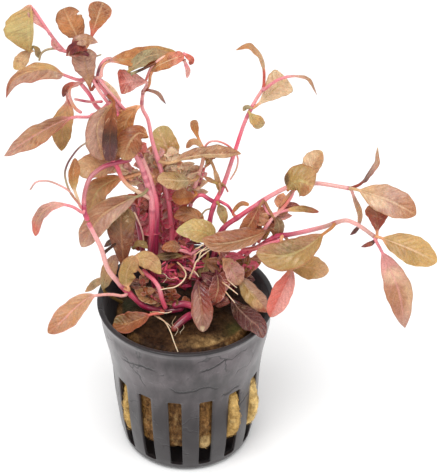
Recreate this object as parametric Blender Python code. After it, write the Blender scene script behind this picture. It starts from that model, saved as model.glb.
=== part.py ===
"""Potted mini scarlet temple: a red-stemmed aquarium plant in a slotted pot filled with mineral wool.

The part stands at its real size in metres, +Z up, with its origin at the middle of the pot's bottom.
The plant's stems and leaves follow places read off a flat picture of it. A place is written as
(across, down, depth): across and down are points of that picture, and depth is how many millimetres
the place lies behind the pot's axis. The function sight turns such a place into metres.
"""
import math

import bmesh
import bpy
from mathutils import Vector

MM = 0.001

# Pot
POT_HEIGHT = 54.0 * MM
POT_WALL = 1.0 * MM
POT_FLOOR = 1.6 * MM
BASE_FLAT_RADIUS = 18.2 * MM
CORNER_RADIUS = 2.6 * MM
CORNER_STEPS = 3
LIP_RADIUS = 27.1 * MM
LIP_THICKNESS = 1.5 * MM
LIP_UNDERCUT = 0.3 * MM
LIP_ROUNDING = 0.4 * MM
LIP_TOP_WIDTH = 0.9 * MM
LIP_TOP_FALL = 0.1 * MM
# Outer wall above the bottom corner, as (radius, height)
WALL_PROFILE = [(21.4 * MM, 5.0 * MM), (22.2 * MM, 11.0 * MM), (22.8 * MM, 18.0 * MM),
                (23.3 * MM, 29.0 * MM), (23.6 * MM, 32.0 * MM), (24.2 * MM, 37.0 * MM),
                (25.2 * MM, 42.0 * MM), (26.0 * MM, 47.0 * MM), (26.2 * MM, 51.2 * MM)]
SLOT_COUNT = 15
SLOT_BOTTOM = 3.2 * MM
SLOT_TOP = 31.5 * MM
SLOT_SHARE = 0.44
SLOT_TURN = math.radians(-97.8)
COLUMNS_PER_BAR = 2
SAME_HEIGHT = 0.01 * MM

# Mineral wool plug
WOOL_BOTTOM = 10.0 * MM
WOOL_TOP = 50.0 * MM
WOOL_RADIUS = 21.0 * MM
WOOL_SHOULDER = 20.0 * MM
WOOL_NECK = 24.0 * MM
WOOL_GAP = 0.35 * MM
WOOL_EDGE = 1.2 * MM
WOOL_COLUMNS = 30

# Picture that the places are read from
VIEW_DISTANCE = 450.0 * MM
VIEW_SCALE = 1474.0
VIEW_TILT = math.radians(36.4)
VIEW_ROLL = math.radians(0.33)
PICTURE_MIDDLE = (220.0, 236.5)
RIM_PLACE = (185.8, 297.0)

# Leaves and stems
BLADE_THICKNESS = 0.6 * MM
STALK_THICKNESS = 0.9 * MM
STALK_HALF_WIDTH = 0.5 * MM
TIP_HALF_WIDTH = 0.25 * MM
BLADE_STATIONS = 6
STEM_SIDES = 8
STEM_STEP = 5.5 * MM
CURVE_STEPS = 12

# Leaf outlines, as the powers of the rise from the stalk and of the fall to the tip
OVAL = (0.8, 0.65)
EGG = (0.6, 0.95)
LANCE = (0.85, 0.9)
ROUND = (0.7, 0.42)
SPOON = (1.25, 0.38)
STRAP = (0.45, 0.25)

# Finishes, as base colour in linear light and roughness
FINISHES = {
    "black plastic": ((0.055, 0.050, 0.053), 0.42),
    "mineral wool": ((0.235, 0.140, 0.045), 0.95),
    "pink stem": ((0.640, 0.175, 0.225), 0.45),
    "magenta stem": ((0.360, 0.045, 0.110), 0.45),
    "tan": ((0.420, 0.240, 0.130), 0.50),
    "tan pink": ((0.480, 0.255, 0.180), 0.50),
    "olive": ((0.300, 0.215, 0.085), 0.45),
    "pale green": ((0.430, 0.380, 0.190), 0.40),
    "brown": ((0.270, 0.125, 0.055), 0.50),
    "rust": ((0.330, 0.110, 0.040), 0.50),
    "dark brown": ((0.120, 0.060, 0.035), 0.55),
    "mauve": ((0.230, 0.130, 0.115), 0.55),
    "coral": ((0.600, 0.150, 0.110), 0.45),
    "dark red": ((0.240, 0.045, 0.035), 0.50),
}

# Stems: places from the wool upwards, then the radius at the foot and at the top in millimetres
STEMS = {
    "stem_left_main": ([(156, 288.5, 8.3), (152, 262, 8.7), (151, 248, 9), (152, 205, 9.5), (149, 190, 10),
                        (143, 171, 10.5), (136, 155, 11), (129, 136, 11.5), (118, 110, 12),
                        (106, 93, 12), (94, 78, 12)], 1.45, 0.9, "pink stem"),
    "stem_left_top": ([(88, 76, 13.5), (86, 62, 13), (83, 50, 12)], 0.8, 0.55, "pink stem"),
    "stem_centre": ([(176, 283, 10.9), (173, 260, 11.9), (172, 238, 13), (171, 222, 14), (169, 205, 14.5),
                     (166, 190, 15), (163, 177, 15.5), (158, 160, 16), (152, 140, 17), (148, 120, 18),
                     (142, 107, 19), (143, 92, 19.5)], 1.15, 0.75, "pink stem"),
    "stem_centre_right": ([(189, 285, 10), (188, 250, 12.2), (189, 215, 14.5), (193, 195, 15.2),
                           (198, 177, 15.9), (203, 160, 16.7), (202, 150, 17.2)], 0.95, 0.65, "tan pink"),
    "stem_left_outer": ([(184, 308, -4), (168, 310.5, -4.2), (149, 308, -5), (140, 303, -5.5),
                         (128, 292, -6), (119, 283, -6.5), (108, 269, -7), (101, 248, -6.8),
                         (94, 234, -6), (88, 222, -5)], 1.25, 0.85, "pink stem"),
    "stem_left_arch": ([(84, 207, -3.5), (84, 198, -3), (86, 188, -2), (90, 178, 0), (97, 171, 2),
                        (105, 166, 4), (115, 163, 5.5), (125, 160.5, 7), (132, 159, 7.6)],
                       0.75, 0.85, "magenta stem"),
    "stem_tall_right": ([(199, 289, 8), (204, 262, 8.6), (208, 235, 10), (210, 220, 11),
                         (213, 208, 12), (217, 199, 13), (220.5, 192, 14), (226, 178, 16),
                         (232, 160, 18), (236, 148, 19.5), (244, 124, 21.5), (251, 109, 22.5),
                         (257, 98, 23.5), (263.5, 88.5, 24.5)], 1.1, 0.6, "pink stem"),
    "stem_right_upper": ([(212, 284, 11), (214, 255, 9.5), (222, 230, 8.5), (240, 216, 8),
                          (261, 202, 7), (272, 195, 6.5), (287, 187.5, 6), (303, 184, 5.5),
                          (319, 183.5, 5), (336, 186, 3.5), (350, 188.5, 2)], 1.05, 0.7, "pink stem"),
    "stem_right_lower": ([(224, 282, 11), (230, 266, 9), (238, 255, 7), (248, 250, 5.5),
                          (257, 247.5, 4), (268, 241, 2.5), (276, 236.5, 1.5), (290, 234.5, 0),
                          (307, 231, -1.5), (325, 226.5, -3), (344, 220.5, -5), (354, 223, -5.5),
                          (362, 227.5, -6), (375, 237, -7)], 1.05, 0.7, "pink stem"),
}

# Leaves: places from the stem to the tip, half widths left and right of the midrib in millimetres as
# seen from stalk to tip, the stalk's share of the length, the blade's lean from the viewer up to the
# sky in degrees, the fold of both halves in degrees, the outline and the finish
LEAVES = {
    "left_crown_west": ([(80, 80, 11), (64, 76, 9), (50, 71, 7), (35, 72, 5), (20, 77, 3.5),
                         (9, 87, 2), (5, 98, 1)], 3.8, 3.8, 0.22, 58, 8, LANCE, "tan"),
    "left_crown_broad": ([(91, 90, 9), (88, 75, 9.5), (84, 60, 9), (81, 50, 9.5)],
                         3.6, 3.6, 0.05, 10, 15, SPOON, "mauve"),
    "left_crown_brown": ([(82, 47, 10.5), (76, 34, 11.5), (69, 20, 13), (64, 8, 14.5)],
                         3.7, 3.7, 0.1, 10, 12, SPOON, "brown"),
    "left_crown_orange": ([(87, 46, 13), (91, 38, 13), (96, 22, 13.5), (103, 2, 14.5)],
                          3.0, 3.0, 0.15, 0, 12, SPOON, "rust"),
    "left_crown_olive": ([(77, 49, 11.6), (66, 52, 11.4), (57, 43, 11.4), (46, 28, 11.5), (36, 14, 12),
                          (31.5, 7.5, 12), (30.5, 12, 11.5), (29, 30, 10), (26, 52, 9)],
                         1.0, 7.2, 0.53, 10, 0, LANCE, "olive"),
    "left_crown_hanging": ([(79, 84, 12.5), (69, 88, 12.5), (67, 96, 12.6), (68, 108, 12.8),
                            (63, 128, 12.6), (61.5, 151, 11)], 3.2, 3.2, 0.3, 15, 10, OVAL, "olive"),
    "left_crown_long": ([(92, 116, 9.5), (72, 117.5, 8), (50, 127, 6.5), (25, 141, 5), (3, 155, 3)],
                        4.2, 4.2, 0.22, 55, 8, LANCE, "tan pink"),
    "left_crown_east": ([(101, 77, 10.5), (101.5, 70, 11.5), (105, 63, 13), (113, 60.5, 14.5),
                         (125, 59.5, 16.2), (142, 57, 18.8), (160, 53.5, 21.3), (176, 52, 23.6)],
                        3.7, 3.7, 0.24, 48, 8, OVAL, "tan"),
    "mid_left_tan": ([(113, 104, 8.5), (104, 112, 7.5), (94, 128, 6), (95, 159, 5)],
                     3.0, 4.3, 0.08, 5, 8, EGG, "tan pink"),
    "mid_left_dark": ([(114, 103, 6), (111, 120, 5), (110, 140, 4), (110, 161, 3)],
                      2.2, 2.2, 0.06, 5, 10, STRAP, "dark brown"),
    "mid_left_orange": ([(139, 107, 11), (130, 114, 9.9), (122, 124, 9.1), (121, 138, 8.7)],
                        2.8, 2.8, 0.08, 15, 10, OVAL, "rust"),
    "mid_left_rust": ([(147, 137, 8.1), (138, 132, 6.5), (129, 140, 4.9), (121, 154, 4)],
                      3.0, 3.0, 0.08, 10, 12, OVAL, "brown"),
    "mid_left_pale": ([(123, 154, 9.5), (108, 162, 8), (92, 166, 6), (77, 170, 4.5)],
                      3.9, 3.9, 0.08, 15, 6, ROUND, "tan pink"),
    "mid_left_big": ([(143, 194, 7), (126, 201, 4), (104, 214, 1), (91, 230, -1.5), (81.5, 247, -3)],
                     3.9, 3.9, 0.1, 15, 8, OVAL, "brown"),
    "mid_left_olive": ([(128, 177, 9.6), (112, 181, 9), (98, 191, 7.6), (88, 214, 6)],
                       3.6, 3.6, 0.1, 20, 8, ROUND, "olive"),
    "left_node_upright": ([(81, 208, -2), (78, 200, -1), (73, 182, 1), (75, 158, 2.5)],
                          1.9, 1.9, 0.35, 20, 10, OVAL, "olive"),
    "left_node_red_tip": ([(83, 213, -5.5), (73, 207, -6.5), (60, 204.5, -7), (47, 209, -8),
                           (37, 221, -9), (35, 236, -10)], 2.6, 2.6, 0.3, 50, 8, OVAL, "coral"),
    "low_left_brown": ([(125, 280, -4.5), (124, 268, -4), (122, 245, -2), (121, 225, 1.5),
                        (123, 207, 4.5)], 3.5, 3.5, 0.12, 10, 12, SPOON, "dark brown"),
    "low_left_grey": ([(105, 292, -1), (105, 282, -1), (110, 268, 0.5), (117, 255, 1)],
                      2.4, 2.4, 0.1, 15, 10, OVAL, "olive"),
    "low_left_tan": ([(124, 296, -7.5), (112, 294.5, -8.5), (100, 295, -9.5), (88, 298, -10.5),
                      (74, 309, -13), (62, 321, -15.5), (48, 333, -18)], 3.5, 3.5, 0.34, 12, 8, OVAL,
                     "tan pink"),
    "pot_leaf": ([(163, 313, -8), (151, 314.5, -9), (139, 319.5, -10), (126, 324, -10.6),
                  (113.5, 322.5, -9.6)], 3.4, 3.4, 0.28, 20, 8, ROUND, "coral"),
    "heart_tan": ([(143, 270, -3), (147, 266, -3), (153, 261, -4), (158, 256, -5)],
                  2.9, 2.9, 0.1, 15, 8, ROUND, "tan"),
    "heart_yellow": ([(128, 287, -8.5), (130, 278, -8), (133, 266, -7.5), (138, 257, -7)],
                     2.8, 2.8, 0.12, 15, 10, OVAL, "olive"),
    "heart_curl": ([(157, 303, -8.5), (150, 297, -8.5), (142, 291, -8.5), (135, 288, -8)],
                   3.0, 3.0, 0.1, 10, 25, ROUND, "brown"),
    "heart_wet": ([(197, 278, -3), (199, 290, -6), (202, 312, -10.5), (203, 332, -13.5)],
                  3.0, 3.0, 0.06, 5, 10, OVAL, "dark red"),
    "centre_crown_red": ([(145, 83, 17), (139, 81, 16.8), (131, 80.5, 16.5), (120.5, 84, 15.9)],
                         2.7, 3.3, 0.1, 25, 20, ROUND, "dark red"),
    "centre_crown_orange": ([(149, 85, 19.2), (150.5, 75, 16.8), (156, 67, 14.9), (168, 61, 14.6),
                             (184, 55, 15.2)], 2.1, 2.1, 0.3, 25, 8, OVAL, "rust"),
    "centre_green": ([(176, 172, 19), (172, 160, 20), (166, 145, 21), (158, 127, 22)],
                     3.8, 3.8, 0.08, 15, 10, ROUND, "pale green"),
    "centre_long": ([(170, 163, 13), (185, 158, 13.2), (205, 155, 13.5), (225, 154.5, 14),
                     (241, 153.5, 14.5)], 2.6, 2.6, 0.1, 55, 10, OVAL, "brown"),
    "centre_grey": ([(195, 180, 13), (182, 181, 12), (169, 180, 11), (157, 180, 10)],
                    2.8, 2.8, 0.1, 45, 8, OVAL, "mauve"),
    "centre_rust": ([(196, 195, 12.5), (188, 197, 11.5), (180, 198, 10.5), (172, 197, 10)],
                    2.7, 2.7, 0.08, 15, 10, ROUND, "rust"),
    "centre_brown": ([(206, 227, 7.8), (197, 218, 9.8), (186, 214, 10.6), (174, 217, 10.2)],
                     2.8, 2.8, 0.1, 25, 8, OVAL, "rust"),
    "centre_pale": ([(210, 243, 4.8), (205, 235, 4.6), (192, 230, 4.4), (177, 231, 4)],
                    3.2, 3.2, 0.15, 20, 10, ROUND, "pale green"),
    "tall_right_hook": ([(264, 83.5, 25), (264, 72, 24.8), (262, 60, 25), (255, 50, 25.5),
                         (247, 46.5, 25.5), (237, 49, 25.5)], 2.3, 2.3, 0.2, 70, 8, LANCE, "tan"),
    "tall_right_sickle": ([(269, 86, 23), (276, 81, 23), (286, 77.5, 22.5), (300, 76.5, 22),
                           (310, 81, 21.5), (317, 94, 21)], 2.1, 2.1, 0.3, 72, 8, LANCE, "tan pink"),
    "tall_right_fan": ([(254, 108, 20.6), (263, 101, 19.8), (275, 90.5, 18.8), (290, 79, 17.8)],
                       4.3, 4.3, 0.15, 5, 15, SPOON, "pale green"),
    "right_upper_round": ([(288, 190, 3), (293, 183, 2), (302, 181, 1), (314, 186, 0.5)],
                          4.7, 4.2, 0.08, 10, 10, ROUND, "olive"),
    "right_upper_pale": ([(305, 181, 8), (309, 171, 8.5), (315, 161, 9), (322, 151, 9.5)],
                         2.5, 3.0, 0.1, 20, 8, OVAL, "tan pink"),
    "right_tip_sickle": ([(354, 187, 2), (361, 183.5, 1.5), (369, 174, 1), (376, 162, 0.5),
                          (378, 147, 0)], 2.3, 2.3, 0.15, 70, 8, LANCE, "mauve"),
    "right_tip_tan": ([(354, 189, 0.5), (370, 193.5, -2.5), (390, 201, -6), (405, 208.5, -8.5),
                       (416, 215, -10)], 4.4, 4.4, 0.1, 12, 10, OVAL, "tan pink"),
    "right_low_red": ([(377, 235, -5.5), (377, 226, -4), (377, 215, -2), (376, 204, 0)],
                      3.9, 3.9, 0.08, 8, 14, SPOON, "dark red"),
    "right_low_olive": ([(378, 237, -8), (390, 241, -9.5), (408, 248, -11.5), (425, 256, -13),
                         (437, 262, -14)], 4.3, 4.3, 0.08, 12, 10, OVAL, "olive"),
    "right_low_hanging": ([(376, 241, -8), (381, 250, -8.5), (388, 265, -9.5), (399, 292, -11),
                           (405, 328, -12.5)], 4.0, 4.0, 0.14, 8, 10, LANCE, "tan pink"),
    "right_low_tan": ([(332, 227.5, -6), (322, 235, -6.6), (305, 248, -7.2), (284, 256, -7.2),
                       (256, 252.5, -6.2)], 4.7, 4.7, 0.14, 15, 8, OVAL, "tan"),
    "right_low_back": ([(287, 239.5, 1.2), (289, 252, 0.5), (296, 264, -0.5), (312, 268, -1.5),
                        (329, 271, -2.5)], 3.6, 3.6, 0.35, 15, 8, OVAL, "olive"),
    "right_coral": ([(281, 240.5, -1.5), (288, 256, -3), (290, 274, -6.5), (282, 294, -9.5),
                     (270, 317, -12.5)], 3.3, 3.3, 0.36, 10, 10, OVAL, "coral"),
    "rim_olive": ([(236, 272, 3), (245, 285, 0), (255, 298, -4), (268, 312, -9.5)],
                  3.0, 3.0, 0.08, 15, 8, OVAL, "olive"),
    "rim_mauve": ([(229, 297, -2), (238, 308, -6.5), (250, 320, -13), (258, 326.5, -16.5),
                   (263, 338, -20)], 3.4, 3.4, 0.08, 15, 6, OVAL, "mauve"),
    "right_shell": ([(270, 230, 2), (255, 236, 0), (235, 242, -1.5), (215, 244, -1.5),
                     (202, 239, -0.5)], 3.0, 4.0, 0.06, 20, 18, OVAL, "brown"),
}


def view_axes():
    """Give the picture's right, up and forward directions."""
    forward = Vector((0, math.cos(VIEW_TILT), -math.sin(VIEW_TILT)))
    level_right = Vector((1, 0, 0))
    level_up = level_right.cross(forward)
    right = level_right * math.cos(VIEW_ROLL) + level_up * math.sin(VIEW_ROLL)
    up = level_up * math.cos(VIEW_ROLL) - level_right * math.sin(VIEW_ROLL)
    return right, up, forward


def view_ray(across, down):
    """Give the direction from the viewer's eye through a point of the picture."""
    right, up, forward = view_axes()
    across_share = (across - PICTURE_MIDDLE[0]) / VIEW_SCALE
    down_share = (down - PICTURE_MIDDLE[1]) / VIEW_SCALE
    return forward + right * across_share - up * down_share


EYE = Vector((0, 0, POT_HEIGHT)) - view_ray(*RIM_PLACE) * VIEW_DISTANCE


def sight(place):
    """Turn a place (across, down, depth in millimetres) into a point in metres."""
    across, down, depth = place
    ray = view_ray(across, down)
    return EYE + ray * ((depth * MM - EYE.y) / ray.y)


def smooth_route(places):
    """Give many points of one smooth curve through the places."""
    points = [sight(place) for place in places]
    ends = [points[0] * 2 - points[1]] + points + [points[-1] * 2 - points[-2]]
    route = []
    for first, start, end, last in zip(ends, ends[1:], ends[2:], ends[3:]):
        for step in range(CURVE_STEPS):
            t = step / CURVE_STEPS
            square_part = first * 2 - start * 5 + end * 4 - last
            cube_part = start * 3 - first - end * 3 + last
            route.append(start + (end - first + square_part * t + cube_part * t * t) * (t / 2))
    route.append(points[-1])
    return route


def stations(route, shares):
    """Give the points at the given shares of the route's length, each with its direction."""
    lengths = [0.0]
    for a, b in zip(route, route[1:]):
        lengths.append(lengths[-1] + (b - a).length)
    found = []
    for share in shares:
        target = share * lengths[-1]
        place = 0
        while place < len(route) - 2 and lengths[place + 1] < target:
            place += 1
        span = lengths[place + 1] - lengths[place]
        point = route[place].lerp(route[place + 1], (target - lengths[place]) / span)
        low = route[max(place - 2, 0)]
        high = route[min(place + 3, len(route) - 1)]
        found.append((point, (high - low).normalized()))
    return found


def finish(name, finish_name):
    """Make the piece's own material."""
    colour, roughness = FINISHES[finish_name]
    material = bpy.data.materials.new(name + " finish")
    material.use_nodes = True
    shader = material.node_tree.nodes["Principled BSDF"]
    shader.inputs["Base Color"].default_value = (*colour, 1)
    shader.inputs["Roughness"].default_value = roughness
    shader.inputs["Metallic"].default_value = 0
    return material


def add_piece(name, mesh_data, finish_name, sharp_angle=math.radians(50)):
    """Make one named object out of a bmesh."""
    bmesh.ops.recalc_face_normals(mesh_data, faces=mesh_data.faces)
    mesh = bpy.data.meshes.new(name)
    mesh_data.to_mesh(mesh)
    mesh_data.free()
    mesh.shade_smooth()
    mesh.set_sharp_from_angle(angle=sharp_angle)
    mesh.materials.append(finish(name, finish_name))
    piece = bpy.data.objects.new(name, mesh)
    bpy.context.collection.objects.link(piece)
    return piece


def join_rings(mesh_data, rings, close_ring=True):
    """Bridge neighbouring rings of vertices with faces."""
    for ring, following in zip(rings, rings[1:]):
        for side in range(len(ring) if close_ring else len(ring) - 1):
            after = (side + 1) % len(ring)
            mesh_data.faces.new((ring[side], ring[after], following[after], following[side]))


def radius_at(profile, height):
    """Give a rising profile's radius at a height."""
    for (low_radius, low), (high_radius, high) in zip(profile, profile[1:]):
        if height <= high:
            return low_radius + (high_radius - low_radius) * (height - low) / (high - low)
    return profile[-1][0]


def slot_heights(profile):
    """Add the slots' lower and upper ends to a rising profile."""
    ends = [(radius_at(profile, height), height) for height in (SLOT_BOTTOM, SLOT_TOP)]
    return sorted(profile + ends, key=lambda point: point[1])


def pot_section():
    """Give the pot's closed half section, from the bottom's middle up the outside and down the inside."""
    corner = []
    for step in range(CORNER_STEPS + 1):
        angle = math.radians(90) * step / CORNER_STEPS
        corner.append((BASE_FLAT_RADIUS + CORNER_RADIUS * math.sin(angle),
                       CORNER_RADIUS * (1 - math.cos(angle))))
    low = POT_HEIGHT - LIP_THICKNESS
    lip = [(LIP_RADIUS - LIP_UNDERCUT, low), (LIP_RADIUS, low + LIP_THICKNESS / 2),
           (LIP_RADIUS - LIP_ROUNDING, POT_HEIGHT),
           (LIP_RADIUS - LIP_ROUNDING - LIP_TOP_WIDTH, POT_HEIGHT - LIP_TOP_FALL)]
    inner = [(radius - POT_WALL, height) for radius, height in WALL_PROFILE]
    floor = [(BASE_FLAT_RADIUS + CORNER_RADIUS - POT_WALL, CORNER_RADIUS + POT_WALL / 2),
             (BASE_FLAT_RADIUS, POT_FLOOR)]
    return slot_heights(corner + WALL_PROFILE), lip, slot_heights(inner)[::-1], floor


def slot_rows(wall, start):
    """Give the section's point numbers along one wall from one end of the slots to the other."""
    return [start + row for row, (_, height) in enumerate(wall)
            if SLOT_BOTTOM - SAME_HEIGHT < height < SLOT_TOP + SAME_HEIGHT]


def make_pot():
    """Turn the pot's section and open the ring of slots in its wall."""
    outer, lip, inner, floor = pot_section()
    section = outer + lip + inner + floor
    mesh_data = bmesh.new()
    pitch = 2 * math.pi / SLOT_COUNT
    angles = []
    for slot in range(SLOT_COUNT):
        start = SLOT_TURN + pitch * (slot - SLOT_SHARE / 2)
        angles.append(start)
        for bar in range(COLUMNS_PER_BAR):
            angles.append(start + pitch * (SLOT_SHARE + (1 - SLOT_SHARE) * bar / COLUMNS_PER_BAR))
    rings = []
    for radius, height in section:
        rings.append([mesh_data.verts.new((radius * math.cos(a), radius * math.sin(a), height))
                      for a in angles])
    outer_rows = slot_rows(outer, 0)
    inner_rows = slot_rows(inner, len(outer) + len(lip))[::-1]
    for row, (ring, following) in enumerate(zip(rings, rings[1:])):
        in_slot_rows = row in outer_rows[:-1] or row in inner_rows[1:]
        for side in range(len(angles)):
            if in_slot_rows and side % (COLUMNS_PER_BAR + 1) == 0:
                continue
            after = (side + 1) % len(angles)
            mesh_data.faces.new((ring[side], ring[after], following[after], following[side]))
    for end in (rings[0], rings[-1]):
        mesh_data.faces.new(end)
    for slot in range(SLOT_COUNT):
        first = slot * (COLUMNS_PER_BAR + 1)
        for column in (first, first + 1):
            sides = [[rings[row][column] for row in rows] for rows in (outer_rows, inner_rows)]
            join_rings(mesh_data, sides, close_ring=False)
        for end in (0, -1):
            outer_ring = rings[outer_rows[end]]
            inner_ring = rings[inner_rows[end]]
            mesh_data.faces.new((outer_ring[first], outer_ring[first + 1],
                                 inner_ring[first + 1], inner_ring[first]))
    return add_piece("net_pot", mesh_data, "black plastic")


def make_wool():
    """Make the wool plug, which fills the pot's inside up to a little below the lip."""
    mesh_data = bmesh.new()
    inside = [(radius - POT_WALL - WOOL_GAP, height) for radius, height in WALL_PROFILE]
    section = [(radius_at(inside, WOOL_BOTTOM) - WOOL_EDGE, WOOL_BOTTOM),
               (radius_at(inside, WOOL_BOTTOM + WOOL_EDGE), WOOL_BOTTOM + WOOL_EDGE)]
    section += [point for point in inside if WOOL_BOTTOM + 2 * WOOL_EDGE < point[1] < WOOL_SHOULDER]
    section += [(WOOL_RADIUS, WOOL_NECK), (WOOL_RADIUS, WOOL_TOP - WOOL_EDGE),
                (WOOL_RADIUS - WOOL_EDGE, WOOL_TOP)]
    rings = []
    angles = [2 * math.pi * side / WOOL_COLUMNS for side in range(WOOL_COLUMNS)]
    for radius, height in section:
        rings.append([mesh_data.verts.new((radius * math.cos(a), radius * math.sin(a), height))
                      for a in angles])
    join_rings(mesh_data, rings)
    for end in (rings[0], rings[-1]):
        mesh_data.faces.new(end)
    return add_piece("rockwool", mesh_data, "mineral wool")


def make_stem(name, places, foot_radius, top_radius, finish_name):
    """Make one stem as a slim tapering rod along its places."""
    route = smooth_route(places)
    length = sum((b - a).length for a, b in zip(route, route[1:]))
    count = max(round(length / STEM_STEP), 3)
    points = stations(route, [step / count for step in range(count + 1)])
    mesh_data = bmesh.new()
    side_way = points[0][1].orthogonal().normalized()
    rings = []
    for step, (point, direction) in enumerate(points):
        radius = (foot_radius + (top_radius - foot_radius) * step / count) * MM
        side_way = (side_way - direction * side_way.dot(direction)).normalized()
        other_way = direction.cross(side_way)
        ring = []
        for side in range(STEM_SIDES):
            angle = 2 * math.pi * side / STEM_SIDES
            offset = side_way * math.cos(angle) + other_way * math.sin(angle)
            ring.append(mesh_data.verts.new(point + offset * radius))
        rings.append(ring)
    join_rings(mesh_data, rings)
    for end in (rings[0], rings[-1]):
        mesh_data.faces.new(end)
    return add_piece(name, mesh_data, finish_name)


def blade_width(share, stalk, outline):
    """Give the blade's width at a share of the leaf's length, as a share of its widest."""
    along = (share - stalk) / (1 - stalk)
    if along <= 0 or along >= 1:
        return 0.0
    rise, fall = outline
    widest = rise / (rise + fall)
    return (along / widest) ** rise * ((1 - along) / (1 - widest)) ** fall


def blade_axes(point, direction, lean, sky_side):
    """Give the blade's sideways and facing directions at a point of its midrib."""
    to_viewer = (EYE - point).normalized()
    facing = (to_viewer - direction * to_viewer.dot(direction)).normalized()
    across = direction.cross(facing)
    turned = facing * math.cos(lean) + across * math.sin(lean) * sky_side
    return direction.cross(turned), turned


def make_leaf(name, places, left, right, stalk, lean, fold, outline, finish_name):
    """Make one leaf as a thin plate: a slim stalk that widens into a folded blade."""
    shares = [0.0] + [stalk + (1 - stalk) * (1 - (1 - step / BLADE_STATIONS) ** 1.5)
                      for step in range(BLADE_STATIONS + 1)]
    points = stations(smooth_route(places), shares)
    sky_side = -1 if points[-1][0].x > points[0][0].x else 1
    lean_angle = math.radians(lean)
    fold_angle = math.radians(fold)
    mesh_data = bmesh.new()
    rings = []
    for share, (point, direction) in zip(shares, points):
        sideways, facing = blade_axes(point, direction, lean_angle, sky_side)
        width = blade_width(share, stalk, outline)
        along = max(share - stalk, 0) / (1 - stalk)
        least_half = STALK_HALF_WIDTH + (TIP_HALF_WIDTH - STALK_HALF_WIDTH) * along
        thickness = STALK_THICKNESS + (BLADE_THICKNESS - STALK_THICKNESS) * min(width * 2, 1)
        row = [point]
        for side, half_width in ((-1, left), (1, right)):
            half = max(half_width * MM * width, least_half)
            spread = sideways * side * math.cos(fold_angle) + facing * math.sin(fold_angle)
            row.insert(0 if side < 0 else 2, point + spread * half)
        lift = facing * thickness / 2
        corners = [place + lift for place in row] + [place - lift for place in reversed(row)]
        rings.append([mesh_data.verts.new(corner) for corner in corners])
    join_rings(mesh_data, rings)
    for end in (rings[0], rings[-1]):
        mesh_data.faces.new(end)
    return add_piece(name, mesh_data, finish_name)


def clear_scene():
    """Remove every object that is already in the file."""
    for existing in list(bpy.data.objects):
        bpy.data.objects.remove(existing, do_unlink=True)


def main():
    """Build the whole potted plant."""
    clear_scene()
    make_pot()
    make_wool()
    for name, (places, foot_radius, top_radius, finish_name) in STEMS.items():
        make_stem(name, places, foot_radius, top_radius, finish_name)
    for name, (places, left, right, stalk, lean, fold, outline, finish_name) in LEAVES.items():
        make_leaf(name, places, left, right, stalk, lean, fold, outline, finish_name)


main()
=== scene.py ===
"""Potted mini scarlet temple: the looks of the plant, its slotted pot and the mineral wool.

Laid out as an add-on and run as a script. It loads the packed model as a fixed frame and builds each
visible piece in the place of its solid. All sizes are in metres, with +Z up and the origin at the
middle of the pot's bottom. Places of stems and leaves are written as (across, down, depth): across and
down are points of a flat picture of the plant, and depth is how many millimetres the place lies behind
the pot's axis. The function sight turns such places into metres.
"""

import functools
from math import cos, pi, radians, sin

import bmesh
import bpy
import numpy as np
from mathutils import Matrix, Vector


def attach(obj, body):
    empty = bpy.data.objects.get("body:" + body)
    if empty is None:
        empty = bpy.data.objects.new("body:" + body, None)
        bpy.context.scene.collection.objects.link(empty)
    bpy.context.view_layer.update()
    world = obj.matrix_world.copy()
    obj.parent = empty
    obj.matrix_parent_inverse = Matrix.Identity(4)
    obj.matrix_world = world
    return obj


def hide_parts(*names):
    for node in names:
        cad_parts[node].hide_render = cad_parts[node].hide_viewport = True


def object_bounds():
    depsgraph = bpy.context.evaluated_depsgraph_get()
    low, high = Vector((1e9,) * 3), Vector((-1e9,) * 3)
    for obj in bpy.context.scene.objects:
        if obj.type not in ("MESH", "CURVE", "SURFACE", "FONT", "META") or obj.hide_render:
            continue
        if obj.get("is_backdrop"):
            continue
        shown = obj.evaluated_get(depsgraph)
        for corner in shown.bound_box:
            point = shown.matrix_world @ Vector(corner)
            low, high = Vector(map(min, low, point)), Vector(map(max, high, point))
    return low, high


bl_info = {
    "name": "Potted Mini Scarlet Temple",
    "version": (1, 0, 0),
    "blender": (4, 5, 0),
    "location": "View3D > Sidebar > Plant",
    "description": "Builds a potted aquarium plant with its slotted pot and mineral wool",
    "category": "Add Mesh",
}

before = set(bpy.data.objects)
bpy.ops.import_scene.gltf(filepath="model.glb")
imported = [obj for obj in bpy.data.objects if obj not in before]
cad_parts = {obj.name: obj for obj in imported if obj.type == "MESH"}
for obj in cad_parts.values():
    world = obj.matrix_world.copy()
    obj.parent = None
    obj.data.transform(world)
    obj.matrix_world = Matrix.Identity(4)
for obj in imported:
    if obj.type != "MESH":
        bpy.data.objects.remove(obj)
CAD_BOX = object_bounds()

MM = 0.001
# Steps of a smooth route from one of its given places to the next
ROUTE_STEPS = 14

# Picture that the places are read from
PICTURE_WIDTH = 440.0
VIEW_DISTANCE = 450.0 * MM
VIEW_SCALE = 1474.0
VIEW_TILT = radians(36.4)
VIEW_ROLL = radians(0.33)
PICTURE_MIDDLE = (220.0, 236.5)
RIM_PLACE = (185.8, 297.0)
RIM_HEIGHT = 54.0 * MM
SENSOR_WIDTH = 36.0

# Both lamps' side, and the place they point at
LAMP_SIZE = 0.5
LAMP_AIM = Vector((0, 0, 0.07))

# Pot wall above the bottom corner, as (radius, height) in millimetres
WALL_PROFILE = np.array([(20.8, 2.6), (21.4, 5.0), (22.2, 11.0), (22.8, 18.0), (23.3, 29.0),
                         (23.6, 32.0), (24.2, 37.0), (25.2, 42.0), (26.0, 47.0), (26.2, 51.2)])
SLOT_TURN = radians(-97.8)

# ---- tables

# A row goes on in lines that start with spaces, and its cells are parted by bars. Places are (across,
# down, depth), parted by commas. A dash stands for nothing.

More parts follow.
